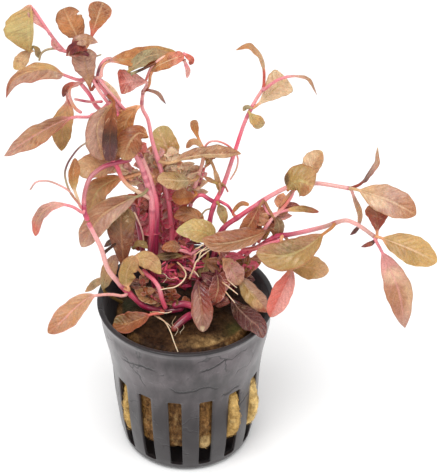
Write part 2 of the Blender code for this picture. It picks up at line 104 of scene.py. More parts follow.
# Stems: places from the wool upwards; radius at foot and top in millimetres; slot; tones from foot to top;
# shares of the length where bare nodes stand
STEMS = """
stem_left_main | 156 288.5 8.3, 152 262 8.7, 151 248 9, 152 205 9.5, 149 190 10, 143 171 10.5, 136 155 11, 129
  136 11.5, 118 110 12, 106 93 12, 94 78 12 | 1.45 0.62 | pink_stem | magenta magenta magenta rose pink pink
  pink blush pink pink | 0.38 0.52
stem_left_top | 88 76 13.5, 86 62 13, 83 50 12 | 0.8 0.55 | pink_stem | rose pink coral | 0.45
stem_centre | 176 283 10.9, 173 260 11.9, 172 238 13, 171 222 14, 169 205 14.5, 166 190 15, 163 177 15.5, 158
  160 16, 152 140 17, 148 120 18, 142 107 19, 143 92 19.5 | 1.15 0.6 | pink_stem | magenta magenta rose rose
  pink pink pink blush | 0.95
stem_centre_right | 189 285 10, 188 250 12.2, 189 215 14.5, 193 195 15.2, 198 177 15.9, 203 160 16.7, 202 150
  17.2 | 0.95 0.65 | tan_pink | magenta rose rose pink blush peach | 0.5
stem_left_outer | 184 308 -4, 168 310.5 -4.2, 149 308 -5, 140 303 -5.5, 128 292 -6, 119 283 -6.5, 108 269 -7,
  101 248 -6.8, 94 234 -6, 88 222 -5 | 1.15 0.75 | pink_stem | magenta wine magenta rose blush blush blush
  pink | 0.28 0.98
stem_left_arch | 84 207 -3.5, 84 198 -3, 86 188 -2, 90 178 0, 97 171 2, 105 166 4, 115 163 5.5, 125 160.5 7,
  132 159 7.6 | 0.75 0.85 | magenta_stem | pink dusk dusk dusk magenta magenta dusk | 0.03 0.9
stem_tall_right | 199 289 8, 204 262 8.6, 208 235 10, 210 220 11, 213 208 12, 217 199 13, 220.5 192 14, 226
  178 16, 232 160 18, 236 148 19.5, 244 124 21.5, 251 109 22.5, 257 98 23.5, 263.5 88.5 24.5 | 1.1 0.6 |
  pink_stem | magenta magenta magenta magenta rose pink rose pink blush | 0.42 0.5 0.86
stem_right_upper | 212 284 11, 214 255 9.5, 222 230 8.5, 240 216 8, 261 202 7, 272 195 6.5, 287 187.5 6, 303
  184 5.5, 319 183.5 5, 336 186 3.5, 350 188.5 2 | 1.05 0.7 | pink_stem | magenta magenta magenta magenta rose
  pink blush blush blush | 0.35 0.58 0.74
stem_right_lower | 224 282 11, 230 266 9, 238 255 7, 248 250 5.5, 257 247.5 4, 268 241 2.5, 276 236.5 1.5, 290
  234.5 0, 307 231 -1.5, 325 226.5 -3, 344 220.5 -5, 354 223 -5.5, 362 227.5 -6, 375 237 -7 | 1.05 0.7 |
  pink_stem | magenta magenta rose rose rose magenta pink mauve blush mauve | 0.3 0.42 0.79
"""

# Leaves: places from the stem to the tip; half widths left and right of the midrib in millimetres as seen
# from stalk to tip, the stalk's share of the length, the blade's lean from the viewer up to the sky and the
# fold of both halves in degrees, and for an outline that isn't plain the powers of its rise from the stalk
# and fall to the tip; slot; tones from stalk to tip; what differs from a plain leaf
# The dark umber middle of mid_left_dark is painted shade on a folded leaf.
LEAVES = """
left_crown_west | 80 80 11, 64 75 9, 50 69.5 7, 35 70.5 5, 20 75 3.5, 10 84 2, 5 98 1 | 4.5 3.2 0.22 52 8 0.6
  1 | tan | pink straw tan redwood | halves mauve -; patch amber; curl -18; bend 0.3; notches 1 0.56 0.05
  0.34, 1 0.66 0.07 0.2
left_crown_broad | 91 90 9, 88 75 9.5, 84 60 9, 81 50 9.5 | 3.6 3.6 0.05 10 15 1.25 0.38 | mauve | redwood
  clay mauve mauve | patch tan; rib tan; curl -25; wave 1.5
left_crown_brown | 82 47 10.5, 76 34 11.5, 69 20 13, 64 8 14.5 | 3.9 3.9 0.1 10 8 0.8 0.42 | brown | blush
  clay amber clay | patch brown; margin umber; wave 2.2; curl 14; notches 1 0.72 0.05 0.4, -1 0.2 0.06 0.45
left_crown_orange | 87 46 13, 91 38 13, 96 22 13.5, 103 2 14.5 | 3.4 3.4 0.15 0 8 1.7 0.4 | rust | peach coral
  amber clay | margin coral; rib cream; patch brown; curl 20; wave 1.6; notches -1 0.52 0.05 0.3
left_crown_olive | 77 49 11.6, 66 52 11.4, 57 43 11.4, 46 28 11.5, 36 13 12, 32 7.2 12, 30.6 9 11.6, 30.4 30
  10, 30 52 9 | 0.9 7.5 0.6 10 0 0.9 0.8 | olive | pink straw lime olive | streak 0.45; patch sage; amount
  0.5; margin olive; under straw; rib lime; wave 0.3
left_crown_hanging | 79 84 12.5, 69 88 12.5, 67 96 12.6, 68 108 12.8, 63 128 12.6, 61.5 151 11 | 3 3.6 0.3 15
  10 0.95 0.8 | olive | blush peach straw olive | streak 0.45; patch straw; margin olive; under straw; wave
  0.7; spots coral 0.05 -0.5 0.09 0.6 0.8
left_crown_long | 92 116 9.5, 72 117.5 8, 50 127 6.5, 25 141 5, 3 155 3 | 4.6 4.3 0.22 50 8 0.85 0.9 |
  tan_pink | pink clay tan mauve | rib blush; curl -15; bend 0.6; wave 0.8
left_crown_east | 101 77 10.5, 101.5 70 11.5, 105 63 13, 113 60.5 14.5, 125 59.5 16.2, 142 57 18.8, 160 53.5
  21.3, 176 52 23.6 | 4.2 3.6 0.22 44 8 | tan | blush amber amber olive | rib straw; margin rust; curl -20;
  wave 0.8
mid_left_tan | 113 103 8.5, 104 113 7.5, 97 130 6, 103 160 5 | 3 3.7 0.06 5 8 0.8 0.42 | tan_pink | tan clay
  mauve clay | streak 0.7; halves - mauve; patch tan; curl -18; margin brown
mid_left_dark | 114 103 6, 111 120 5, 110 140 4, 110 161 3 | 2.2 2.2 0.06 5 10 0.45 0.25 | dark_brown | rust
  rust umber plum | patch umber; amount 0.6; rib brown; margin umber; under umber; spots plum 0.85 0 0.2 1.2
  0.9
mid_left_orange | 139 106 11, 132 113 9.9, 126 123 9.1, 122 140 8.2, 121 158 7 | 2.9 3.8 0.06 10 8 | rust |
  peach amber amber amber | patch amber; margin clay; curl 8
mid_left_rust | 147 137 8.1, 139 133 6.5, 130 142 4.9, 123 160 4 | 3.8 3.8 0.08 10 8 | brown | amber rust rust
  tan | patch umber; curl -20; amount 0.5
mid_left_pale | 123 154 9.5, 108 162 8, 92 166 6, 77 170 4.5 | 3.9 3.9 0.08 15 6 0.7 0.42 | tan_pink | clay
  mauve tan sand | streak 0.7; patch olive; curl -22; wave 1.3
mid_left_big | 143 194 7, 126 201 4, 104 214 1, 91 230 -1.5, 81.5 247 -3 | 3.9 3.9 0.1 15 8 | brown | sage
  brown clay mauve | streak 0.7; patch rust; halves mauve -; margin sage; curl -12
mid_left_olive | 128 177 9.6, 112 181 9, 98 191 7.6, 88 214 6 | 3.6 3.6 0.1 20 8 0.7 0.42 | olive | peach
  amber tan tan | streak 0.7; patch amber; rib lime; curl -20; wave 1.5
left_node_upright | 81 208 -2, 78 200 -1, 73 182 1, 75 158 2.5 | 1.9 1.9 0.35 20 10 | olive | cream straw
  amber clay | patch rust; margin amber; curl 25
left_node_red_tip | 83 213 -5.5, 73 207 -6.5, 60 204.5 -7, 47 209 -8, 37 221 -9, 35 236 -10 | 2.6 2.6 0.3 50 8
  | coral | pink blush mauve coral | margin pink; patch redwood; curl -14; spots coral 1 0 0.25 1.4 0.9
low_left_brown | 125 280 -4.5, 124 268 -4, 122 245 -2, 121 225 1.5, 123 207 4.5 | 4.3 4.3 0.12 10 10 1.25 0.38
  | dark_brown | clay brown brown moss | patch umber; rib clay; margin umber; wave 1.2; curl -10; amount 0.45
low_left_grey | 105 292 -1, 105 282 -1, 110 268 0.5, 117 255 1 | 2.4 2.4 0.1 15 10 | olive | moss sage tan
  mauve | patch olive; curl -25; anchor -19.5 3 49
low_left_tan | 124 296 -7.5, 112 294.5 -8.5, 100 295 -9.5, 88 298 -10.5, 74 309 -13, 62 321 -15.5, 48 333 -18
  | 3.5 3.5 0.34 12 8 | tan_pink | blush tan tan clay | streak 0.45; patch amber; margin blush; rib blush;
  curl -16; wave 1.2
pot_leaf | 163 313 -8, 151 314.5 -9, 139 319.5 -10, 126 324 -10.6, 113.5 322.5 -9.6 | 3.4 3.4 0.28 20 8 0.7
  0.42 | coral | coral redwood brown moss | patch olive; margin coral; rib amber; curl 22; wave 1.4; halves
  rust -
heart_tan | 133 262 -4, 142 259 -3.6, 152 262 -4, 161 274 -5 | 2.6 2.8 0.08 12 8 0.5 0.8 | tan | peach straw
  tan straw | streak 0.7; patch sage; curl -20; anchor -12.4 -3.2 65
heart_yellow | 129 290 -8.5, 126 281 -8, 128 269 -7.5, 135 256 -7 | 2.6 3 0.12 12 8 0.5 0.5 | olive | peach
  olive olive tan | streak 0.7; patch moss; curl -20; wave 2.4; notches 1 0.5 0.1 0.4
heart_curl | 164 303 -4.6, 155 299 -4, 145 295 -4.4, 135 288 -5 | 2.7 3 0.08 10 16 | brown | umber clay tan
  tan | patch umber; curl 22; amount 0.5; wave 2.2; gloss 0.3; margin cream; rib clay
heart_wet | 197 278 -3, 199 290 -6, 202 312 -10.5, 203 332 -13.5 | 3.4 3.4 0.06 5 10 | dark_red | wine wine
  redwood mauve | gloss 0.14; rib clay; patch wine; curl 14; streak 0.4; amount 0.4; spots mauve 0.55 0.45 0.4
  0.4 0.55, cream 0.93 0.1 0.06 0.5 0.9; anchor 3.6 3.5 60
centre_crown_red | 147 83 17.4, 140 81.5 16.6, 131 82 16.2, 119 84 15.8 | 3.5 4 0.04 15 6 1 0.14 | dark_red |
  blush blush blush coral | curl 10; gloss 0.28; under coral; rib blush; patch coral; wave 0.6; spots redwood
  0.85 -0.6 0.3 0.6 0.7, blush 0.5 0.1 0.25 0.3 0.8
centre_crown_orange | 149 85 19.2, 150.5 75 16.8, 156 67 14.9, 168 61 14.6, 184 55 15.2 | 2.3 2.2 0.4 25 8 0.7
  0.42 | rust | peach amber amber coral | curl -15; margin rust; patch rust; wave 1.3; amount 0.5; rib cream;
  dots 0.25
centre_green | 176 172 19, 172 160 20, 166 145 21, 158 127 22 | 3.8 3.8 0.08 15 10 0.7 0.42 | pale_green |
  amber olive straw lime | streak 0.45; patch olive; rib cream; margin olive; under lime; curl -15; wave 1.2;
  dots 0.7
centre_long | 170 163 13, 185 158 13.2, 205 155 13.5, 225 154.5 14, 241 153.5 14.5 | 3.2 3.2 0.08 50 8 | brown
  | sand tan sage clay | patch mauve; margin umber; rib cream; curl 30; halves clay sand
centre_grey | 195 180 13, 182 181 12, 169 180 11, 157 180 10 | 3.6 3.4 0.1 38 8 | mauve | tan sage olive sand
  | patch mauve; rib cream; curl -12; dots 0.4
centre_rust | 196 195 12.5, 188 197 11.5, 180 198 10.5, 172 197 10 | 2.7 2.7 0.08 15 10 0.7 0.42 | rust |
  amber rust amber rust | patch redwood; curl 30; rib clay
centre_brown | 206 227 7.8, 197 218 9.8, 186 214 10.6, 174 217 10.2 | 2.8 2.8 0.1 25 8 | rust | clay amber
  clay rust | patch rust; curl -20; rib tan
centre_pale | 216 240 4.8, 206 233 4.6, 192 230 4.4, 176 231.5 4 | 3.6 3.8 0.06 18 8 0.55 0.8 | pale_green |
  olive olive straw lime | streak 0.45; patch lime; margin lime; rib lime; under lime; curl -12; wave 1.2;
  dots 0.6
tall_right_hook | 264 83.5 25, 264 72 24.8, 262 60 25, 255 50 25.5, 247 45.5 25.5, 236 50 25.5 | 2.1 2.1 0.25
  66 8 0.8 0.7 | tan | coral sand tan amber | streak 0.45; margin clay; curl -24; patch straw
tall_right_sickle | 264 90 20, 274 82 18, 286 77 18, 300 76.5 19, 310 81 20, 317 95 20 | 1.5 1.5 0.42 72 8 0.7
  0.8 | tan_pink | pink blush tan mauve | streak 0.45; margin clay; curl -20; patch sand
tall_right_fan | 253 108 22.6, 261 102 21.8, 272 91.5 20.8, 286 77.5 19.8 | 4.3 4.3 0.12 5 8 1.3 0.16 |
  pale_green | peach cream cream cream | streak 0.45; patch straw; amount 0.2; margin clay; rib lime; under
  sand; curl 10; wave 0.8
right_upper_round | 288 190 3, 293 183 2, 302 181 1, 314 186 0.5 | 5.2 4.7 0.08 10 8 0.7 0.42 | olive | amber
  olive olive tan | streak 0.45; patch moss; rib lime; margin rust; curl -30; gloss 0.34; spots umber 0.18
  -0.75 0.14 0.5 0.8, rust 0.78 0.6 0.2 0.5 0.5
right_upper_pale | 305 181 8, 309 171 8.5, 315 161 9, 322 151 9.5 | 3.3 3 0.1 20 8 | tan_pink | sand cream
  cream sand | streak 0.45; halves - tan; patch sand; margin clay; curl 10
right_tip_sickle | 354 187 2, 361 183.5 1.5, 369 174 1, 376 162 0.5, 378 147 0 | 2.3 2.3 0.15 70 8 0.85 0.9 |
  mauve | redwood plum mauve sand | patch redwood; curl -30
right_tip_tan | 354 189 0.5, 370 193.5 -2.5, 390 201 -6, 405 208.5 -8.5, 416 215 -10 | 4.4 4.4 0.1 12 10 |
  tan_pink | sand sand mauve clay | streak 0.45; patch mauve; margin clay; rib cream; curl -14; gloss 0.34;
  spots clay 0.98 -0.2 0.35 1.3 0.7, cream 0.3 0.45 0.3 0.4 0.6
right_low_red | 377 235 -5.5, 377 226 -4, 377 215 -2, 376 204 0 | 3.9 3.9 0.08 8 14 1.25 0.38 | dark_red |
  peach redwood redwood clay | streak 0.7; patch rust; rib clay; curl 18
right_low_olive | 378 237 -8, 390 241 -9.5, 408 248 -11.5, 425 256 -13, 437 262 -14 | 4.3 4.3 0.08 12 10 |
  olive | peach olive olive straw | streak 0.45; patch amber; margin straw; rib cream; curl -14; gloss 0.34;
  halves straw -
right_low_hanging | 376 241 -8, 381 250 -8.5, 388 265 -9.5, 399 292 -11, 405 328 -12.5 | 4 4 0.14 8 10 0.85
  0.9 | tan_pink | pink blush sand mauve | streak 0.45; patch mauve; margin clay; rib blush; curl -16; gloss
  0.34; spots rust 0.58 0.45 0.34 1.0 0.6, cream 0.3 0 0.12 0.9 0.55
right_low_tan | 332 227.5 -6, 322 235 -6.6, 305 248 -7.2, 284 256 -7.2, 256 252.5 -6.2 | 4.7 4.7 0.14 15 8 |
  tan | amber clay moss clay | streak 0.45; patch mauve; rib lime; curl -14; halves olive -
right_low_back | 287 239.5 1.2, 289 252 0.5, 296 264 -0.5, 312 268 -1.5, 329 271 -2.5 | 3.6 3.6 0.35 15 8 |
  olive | clay olive straw sand | streak 0.45; patch amber; margin clay; curl -12
right_coral | 281 240.5 -1.5, 288 256 -3, 290 274 -6.5, 282 294 -9.5, 270 317 -12.5 | 3.3 3.3 0.36 10 10 |
  coral | peach coral coral coral | streak 0.45; patch redwood; amount 0.12; margin coral; rib blush; under
  coral; curl 14; halves blush -
rim_olive | 236 272 3, 245 285 0, 255 298 -4, 268 312 -9.5 | 3 3 0.08 15 8 | olive | mauve olive olive redwood
  | streak 0.7; halves mauve -; patch moss; margin plum; curl -20; spots sand 0.72 0.3 0.14 0.5 0.7
rim_mauve | 229 297 -2, 238 308 -6.5, 250 320 -13, 258 326.5 -16.5, 263 338 -20 | 3.4 3.4 0.08 15 6 | mauve |
  wine umber plum plum | streak 0.4; patch umber; amount 0.5; gloss 0.26; margin plum; rib mauve; curl -14;
  anchor 11 3 49
right_shell | 270 230 2, 255 236 0, 235 242 -1.5, 215 244 -1.5, 202 239 -0.5 | 3 4 0.06 20 18 | brown | brown
  rust umber clay | halves clay rust; patch umber; margin mauve; curl -12; gloss 0.34
"""

# Young leaves and other small blades that stand for no solid, in the same way. Their pieces' names
# start with young_.
# The grey green blade crown_east_green lies in front of the right part of left_crown_east and is painted
# shade on that leaf.
YOUNG_LEAVES = """
crown_olive | 33 50 10.6, 27 54 10.2, 21 61 9.6, 14 69 9 | 2.2 2 0.1 20 5 | olive | sand tan sand straw |
  under sand; margin olive; patch sage
crown_strip | 31 48 11, 34 47 11, 37 50 11, 39 58 10.6 | 0.9 0.9 0.2 10 5 | olive | sage olive sage sage |
  under sage; margin sage
crown_pleat | 50 34 11.5, 43 24 11.8, 36 13.5 12, 31.8 7.5 12 | 2.3 0.5 0.1 5 5 1.25 0.38 | coral | pink pink
  blush mauve | under blush; margin pink; rib blush; wave 0.4
crown_wing | 63 51 11.2, 59 48 11, 55 44 10.8, 53 37 10.8 | 1.2 0.6 0.1 10 15 | coral | pink pink blush pink |
  under blush; margin pink; rib blush
crown_mauve | 73 44 8.6, 77 40 8.2, 88 39 8.2, 98 42.5 9 | 1.5 1.9 0.1 15 10 0.6 0.95 | mauve | redwood mauve
  clay mauve | patch redwood; margin plum; curl -25
crown_wine | 86 50 8.2, 80 46 7.4, 73 48 7.2, 66 56 7.6 | 1.9 1.5 0.1 15 10 0.6 0.95 | dark_red | redwood
  redwood wine redwood | patch wine; margin wine; under wine; curl 30; rib redwood
crown_wine_low | 88 55 8, 82 52 7.2, 75 53 6.9, 68 55 7 | 1.2 1.3 0.1 15 10 | dark_red | wine wine redwood
  mauve | patch wine; under wine
crown_sheath | 101 80 11.6, 108 86 11.8, 114 93 12, 120 103 11.8 | 0.9 1.1 0.1 10 20 0.45 0.25 | tan_pink |
  blush cream cream blush | under cream; margin blush; rib cream
crown_cup | 79 83 12, 72 84 11.6, 66 88 11.6, 63 97 12 | 0.9 0.9 0.1 10 20 | coral | blush coral redwood wine
  | under coral; curl 40
crown_east_green | 128 72 12.6, 137 64 14.8, 150 56 17, 172 52.5 20.6 | 2.9 2.5 0.04 44 5 0.6 0.95 | olive |
  olive sage sage clay | patch moss; under sage; margin moss
crown_east_edge | 131 74 11.6, 143 69 13.4, 155 63 15.2, 170 55 18.4 | 0.3 0.3 0.05 10 5 | dark_brown | sage
  umber brown plum | patch umber; under umber
centre_tip | 183 53 16, 187 56 15.6, 191 60 15.6, 190 65 16 | 1 0.8 0.1 10 10 | coral | pink coral coral
  redwood | under coral; margin coral; curl 30
centre_hanging | 184 60 15.4, 186 65 15.4, 188 71 15.6, 187 78 16 | 0.7 0.7 0.1 10 10 | coral | blush pink
  blush blush | under blush; margin pink
centre_sickle | 144 90 19, 150 90.5 18.6, 158 94 18, 166 104 17.4 | 0.9 0.9 0.15 50 10 0.85 0.9 | mauve |
  redwood mauve mauve plum | margin plum
heart_pink | 221 256 3.4, 227 263 2, 233 272 0.6, 240 285 -1.4 | 3.2 2.8 0.1 15 10 | tan_pink | peach peach
  blush clay | patch redwood; margin blush; wave 1.8
heart_moss | 208 255 5, 206 261 4.4, 204 268 3.4, 201 277 2 | 1.9 1.9 0.1 15 10 | olive | olive clay moss moss
  | patch moss; under moss
spatula | 204 150 16.8, 200 142 17.3, 196 132 17.8, 193 120 18.4 | 1.35 1.35 0.4 5 10 1.25 0.38 | rust | peach
  amber amber clay | under amber; margin clay; rib straw; curl 18
centre_tan | 203 149 17, 198 143 16.4, 192 142 16, 186 148 15.8 | 1.2 1 0.15 20 10 | tan | peach sand tan clay
  | curl 20
centre_narrow | 205 152 15.6, 209 158 14.8, 214 168 14.2, 220 190 13.4 | 0.9 0.9 0.5 10 10 0.45 0.25 | tan |
  tan sand tan olive | under sand
centre_twig_leaf | 218 184 13.6, 213 181.5 13.4, 208 179 13.3, 204 176.5 13.3 | 0.7 0.7 0.2 10 10 0.85 0.9 |
  olive | olive olive clay clay | under olive
right_olive | 218 203 11.8, 220 208 11.4, 223 215 11, 225 225 10.4 | 1.6 1.6 0.1 15 10 0.6 0.95 | olive |
  olive sage lime olive | patch amber; under sage
arched_strip | 233 213 8.8, 238 206 8.4, 243 203.5 8.2, 249 205 8 | 0.8 0.8 0.1 30 10 0.45 0.25 | rust | coral
  amber clay amber | under amber
right_rust | 262 203 5, 257 211 4, 250 224 2.6, 240 238 2 | 2.4 2.4 0.1 20 10 | rust | clay redwood rust clay
  | patch rust
right_brown | 272 215 3.6, 276 219 3.2, 279 225 3, 279 235 2.6 | 1.7 1.7 0.1 20 10 0.7 0.42 | brown | clay
  brown sage brown | patch plum; curl -20
right_thin | 270 214 4.2, 285 210.5 3.6, 302 209 3, 319 212 2.5 | 1.15 1.15 0.35 30 8 | olive | pink straw
  olive redwood | under straw; margin clay
tall_bud | 249 112 21.8, 253 118 21, 258 123 20.2, 261 128 19.4 | 2.1 2.1 0.1 20 10 0.8 0.42 | olive | straw
  lime straw sage | under olive
tall_tip | 252 108 22.4, 248 107 22.4, 245 108 22.4, 243 111 22.2 | 0.7 0.7 0.1 20 10 | olive | lime sage sage
  sage | under sage
tip_hanging | 351 189 1.6, 355 200 1, 360 215 0, 358 229 -0.8 | 0.95 0.95 0.15 30 8 0.85 0.9 | mauve | blush
  mauve sand mauve | under blush; margin mauve
tip_grey | 360 226 -1.4, 357 229 -1.2, 354 232 -1, 350 235 -1 | 0.7 0.7 0.1 30 8 0.85 0.9 | mauve | mauve plum
  plum plum | under plum
low_tip | 376 239 -7, 372 243 -6.6, 367 245 -6.4, 361 247 -6.4 | 0.8 0.8 0.1 30 8 0.85 0.9 | mauve | redwood
  plum redwood plum | under plum
low_left_olive | 108 275 2.6, 103 279 2, 95 284 1.4, 85 292 1 | 1.3 1.3 0.1 20 8 0.85 0.9 | olive | tan sand
  sage tan | under sand
low_left_tip | 118 241 -1, 113 241 -0.6, 109 243 -0.2, 104 247 0 | 0.9 0.9 0.1 20 8 0.85 0.9 | dark_brown |
  umber plum umber plum | under plum
heart_eye | 133 248 2.4, 137 244.5 2.2, 142 244.5 2, 148 248 2 | 1.4 1 0.1 30 10 | olive | moss olive moss
  moss | under moss; patch umber
heart_brown | 184 251 4.6, 179 247 4, 171 246 2.4, 162 249 1 | 2.2 1.8 0.1 25 10 | brown | clay mauve clay
  rust | patch rust; gloss 0.26; curl -22
heart_olive | 184 257 3.6, 176 255 3, 166 256 2, 155 257 1 | 1.5 1.3 0.1 25 10 | olive | moss moss umber moss
  | patch umber; under moss; curl -20
heart_red | 216 270 -0.6, 218 280 -2.6, 218 290 -4.4, 214 302 -6.4 | 2.9 2.7 0.1 15 12 0.7 0.42 | dark_red |
  wine wine redwood redwood | patch wine; margin blush; gloss 0.28; wave 1.6; curl 20
back_rose | 173 262 13, 171 248 17, 169 228 18.6, 168 208 19.6, 167 190 20 | 4 3.6 0.08 12 8 | dark_red |
  magenta redwood rose coral | streak 0.7; patch redwood; under redwood; margin magenta; rib rose; curl -16;
  wave 1.4
back_red | 152 256 10.5, 147 244 13, 143 228 14.4, 140 208 15, 139 188 15 | 2.9 2.9 0.1 12 8 | dark_red | wine
  redwood rose clay | streak 0.7; patch redwood; under redwood; rib coral; curl -16; wave 1.2
"""

# Crowded shoots in the heart of the plant: places from foot to tip; radius of the shoot in millimetres,
# number of its blades, their length and half width in millimetres; their tones
CROWD = """
164 262 12.4, 163 240 13.6, 162 218 14.8, 160 190 16 | 0.45 24 7 2.1 | rose coral pink rose coral blush rose
178 262 13, 177 244 14, 177 226 15, 175 204 16 | 0.45 19 6.5 1.9 | magenta rose coral rose pink
152 196 17, 152 181 17.6, 152 166 18.4, 149 150 19 | 0.5 15 6.5 2.5 | cream cream peach cream blush peach
166 192 17.4, 169 180 17.6, 168 168 18, 164 154 18.4 | 0.5 12 6 2.3 | cream peach cream cream peach
192 206 15.6, 188 191 16, 183 178 16.4, 178 166 17 | 0.5 16 6.5 2.4 | cream peach cream blush cream sand
198 188 15.8, 202 176 16.4, 206 165 16.8, 211 157 17 | 0.35 6 4 1.2 | tan peach straw blush sand
145 256 10, 140 236 10.4, 138 216 10.8, 141 192 11.4 | 0.6 18 6 1.8 | rose coral coral redwood pink blush
147 188 11.8, 138 178 11.4, 130 172 11, 120 168 10.6 | 0.5 16 6 2.1 | peach cream cream blush peach
143 158 11, 137 151 10.6, 132 145 10.4, 128 138 10.4 | 0.4 8 5 1.6 | peach coral amber blush
186 286 3, 185 268 3.6, 181 252 4.4, 178 242 5 | 0.45 26 5 0.6 | rose redwood magenta wine coral wine
198 286 3, 195 268 3, 191 256 3.4, 186 242 4 | 0.45 22 5 0.6 | magenta rose redwood pink wine
186 290 0, 178 283 -0.4, 169 276 -1, 158 266 -1.4 | 0.4 40 4.6 0.55 | magenta magenta wine rose redwood
216 298 1, 218 282 1.4, 221 268 2.4, 226 254 3.4 | 0.5 18 6.5 1.9 | redwood blush rose wine clay redwood
232 290 5, 240 278 4.6, 246 268 5, 250 258 5.4 | 0.5 12 6 1.8 | olive clay redwood plum rose
168 308 -5, 157 300 -4.6, 147 292 -4.4, 139 281 -4 | 0.45 18 5 1.6 | rust brown clay redwood umber
184 306 -3.4, 178 302 -3.6, 171 298 -4, 163 294 -4.4 | 0.45 14 5 1.7 | wine rust umber redwood moss
206 306 -3.6, 211 299 -3.4, 216 291 -2.6, 219 280 -1.6 | 0.5 14 5.5 1.9 | wine redwood rose redwood blush
252 248 4, 261 233 4, 271 219 4.4, 283 207 5 | 0.4 14 6.5 1.7 | clay blush amber redwood olive peach
"""

# Twigs and thin stalks: places; foot and top radius in millimetres; tones along them
TWIGS = """
122 120 12, 117 122 14, 105 113 14, 96 106 13, 90 95 12.5, 81 84 12 | 0.7 0.6 | rose rose pink rose pink
171 53 17, 159 60 15.6, 151 68 16, 146 80 17 | 0.42 0.4 | peach blush coral
92 79 10.5, 100 92 10.4, 110 105 10.6, 121 117 11.2 | 0.48 0.5 | pink blush pink pink rose
98 77 11, 105 86 11, 113 96 11.2, 127 112 11.6 | 0.42 0.42 | pink blush pink pink
104 93 12.6, 113 101 13, 122 109 13, 130 124 12 | 0.45 0.5 | pink blush pink rose
97 80 12, 98 72 12.2, 101 64 12.4, 106 59 12.8, 112 58 13.6 | 0.45 0.4 | rose plum pink mauve
93 78 12, 101 88 12.4, 111 97 12.8, 118 104 13, 124 112 12.6 | 0.38 0.4 | pink peach pink pink
100 80 11, 101 71 11.4, 104 64 12.2, 110 60 13.4 | 0.36 0.3 | blush blush peach clay
80 83 12, 72 85 11.8, 69 92 11.8, 71 101 12, 76 109 12, 82 113 11.4 | 0.55 0.5 | blush peach blush peach pink
103 101.5 12.6, 93 102 12.4, 84 101 12.2, 74 99 12 | 0.42 0.38 | rose blush magenta blush
62 49 11, 54 48.5 10.8, 46 50 10.6, 41 54 10.4, 39 61 10.2 | 0.38 0.3 | pink sage sage sage
88 56 11.6, 93 57 11.4, 97 56 11.2, 101.5 54.5 11 | 0.3 0.2 | plum plum sage sage
119 115 10, 108 113.5 9.6, 98 113.5 9.4, 90 115.5 9.4 | 0.55 0.55 | rose pink blush pink
84 212 -4.4, 79 204 -3.6, 70 192 -2, 65 176 0.5, 67 165 2, 73 155 3.4, 80 147 4.4, 90 140.5 5.6 | 0.36 0.26 |
  pink clay sage plum plum sage
74 197 -2.6, 69 191 -2, 61 186 -1.6, 50 181.5 -1.4, 41 181 -1.2, 35 183 -1, 30 190 -0.8 | 0.32 0.26 | clay
  blush mauve blush mauve
88 221 -5, 84.5 212 -4.4, 84 204 -3.4 | 0.8 0.75 | rose magenta magenta
139 107 11.6, 134 110 13.8, 131 116 13.4, 128 122 12 | 0.5 0.45 | pink blush blush
142 270 -2.6, 148 275 -3.4, 154.5 281 -4.4, 159.5 289 -5.4, 162 299 -6, 166 309 -6 | 0.65 0.75 | rose rose
  pink rose rose
112 160 5.4, 117 167 6.6, 122 178 7.5, 130 187 8, 144 195 8.5, 150 199 9.2 | 0.7 0.6 | rose rose peach cream
  blush
134 212 7.6, 138 220 7.6, 142 231 7.8, 144 243 8 | 0.28 0.25 | cream blush cream
146 284 8, 144 262 8.2, 141 240 8.4, 137 220 8.8, 133 205 9.4 | 0.95 0.7 | wine wine magenta wine
208 290 6, 211 275 6, 212 262 6.2, 216 250 6.4 | 1.1 0.9 | wine wine magenta magenta
232 286 9.6, 238 270 8.4, 244 258 7, 252 249 5.6 | 0.8 0.6 | magenta rose blush rose
193 314 -7, 186 318 -8.6, 179 324 -10.4, 172 331 -12 | 1.25 1.1 | magenta magenta wine redwood
196 309 -4, 204 307 -4.6, 212 303 -5, 224 298 -5.4 | 1.05 0.9 | magenta magenta redwood wine
172 306 -5, 182 304 -4.6, 192 306 -4.4, 203 309 -5 | 1.1 1 | magenta magenta rose magenta
153 268 9.8, 155 248 9.8, 156 225 10, 156 205 10.2, 153 190 10.8, 148 174 11.4, 142 160 12, 135 146 12.4, 130
  132 12.6 | 1.15 0.8 | wine magenta magenta magenta rose pink blush pink pink
216 203 13, 208 198.5 13.4, 202 195 13.6, 196 197 13.5, 191 203 14 | 0.7 0.55 | magenta magenta rose magenta
  clay
217 200 13, 224 203.5 12.6, 229 207 12, 235 217 11.4 | 0.5 0.4 | magenta rose magenta rose
201 217 9.4, 203 213 9.8, 206 210 10.4, 211 208.5 11.6 | 0.28 0.25 | sage moss sage
203 150 17, 208 143 16.6, 214 141 16.4, 222 142.5 16.6, 230 147 17, 234 152 18 | 0.32 0.3 | coral blush coral
  coral
236 152 18.6, 238 160 18.2, 236 170 17.6, 230 180 16.2 | 0.3 0.26 | coral blush sand blush
258 243 3.4, 264 231 3.2, 272 219 3.4, 283 208 4, 291 197 5, 294 188 5.8 | 0.55 0.5 | coral pink blush coral
  pink
280 207 4.8, 285 200 5, 291 193 5.4, 297 187 5.6 | 0.6 0.55 | clay amber clay coral
241 250 1.6, 254 248 1, 266 244.5 0.8, 281 240 0.6 | 0.6 0.55 | rose coral pink rose
228 192 14.6, 225 186 14, 221 183 13.8, 217 184 13.4 | 0.3 0.26 | coral clay olive
219 196 13.2, 220 189 13, 219 183 13 | 0.4 0.35 | rose clay tan
"""

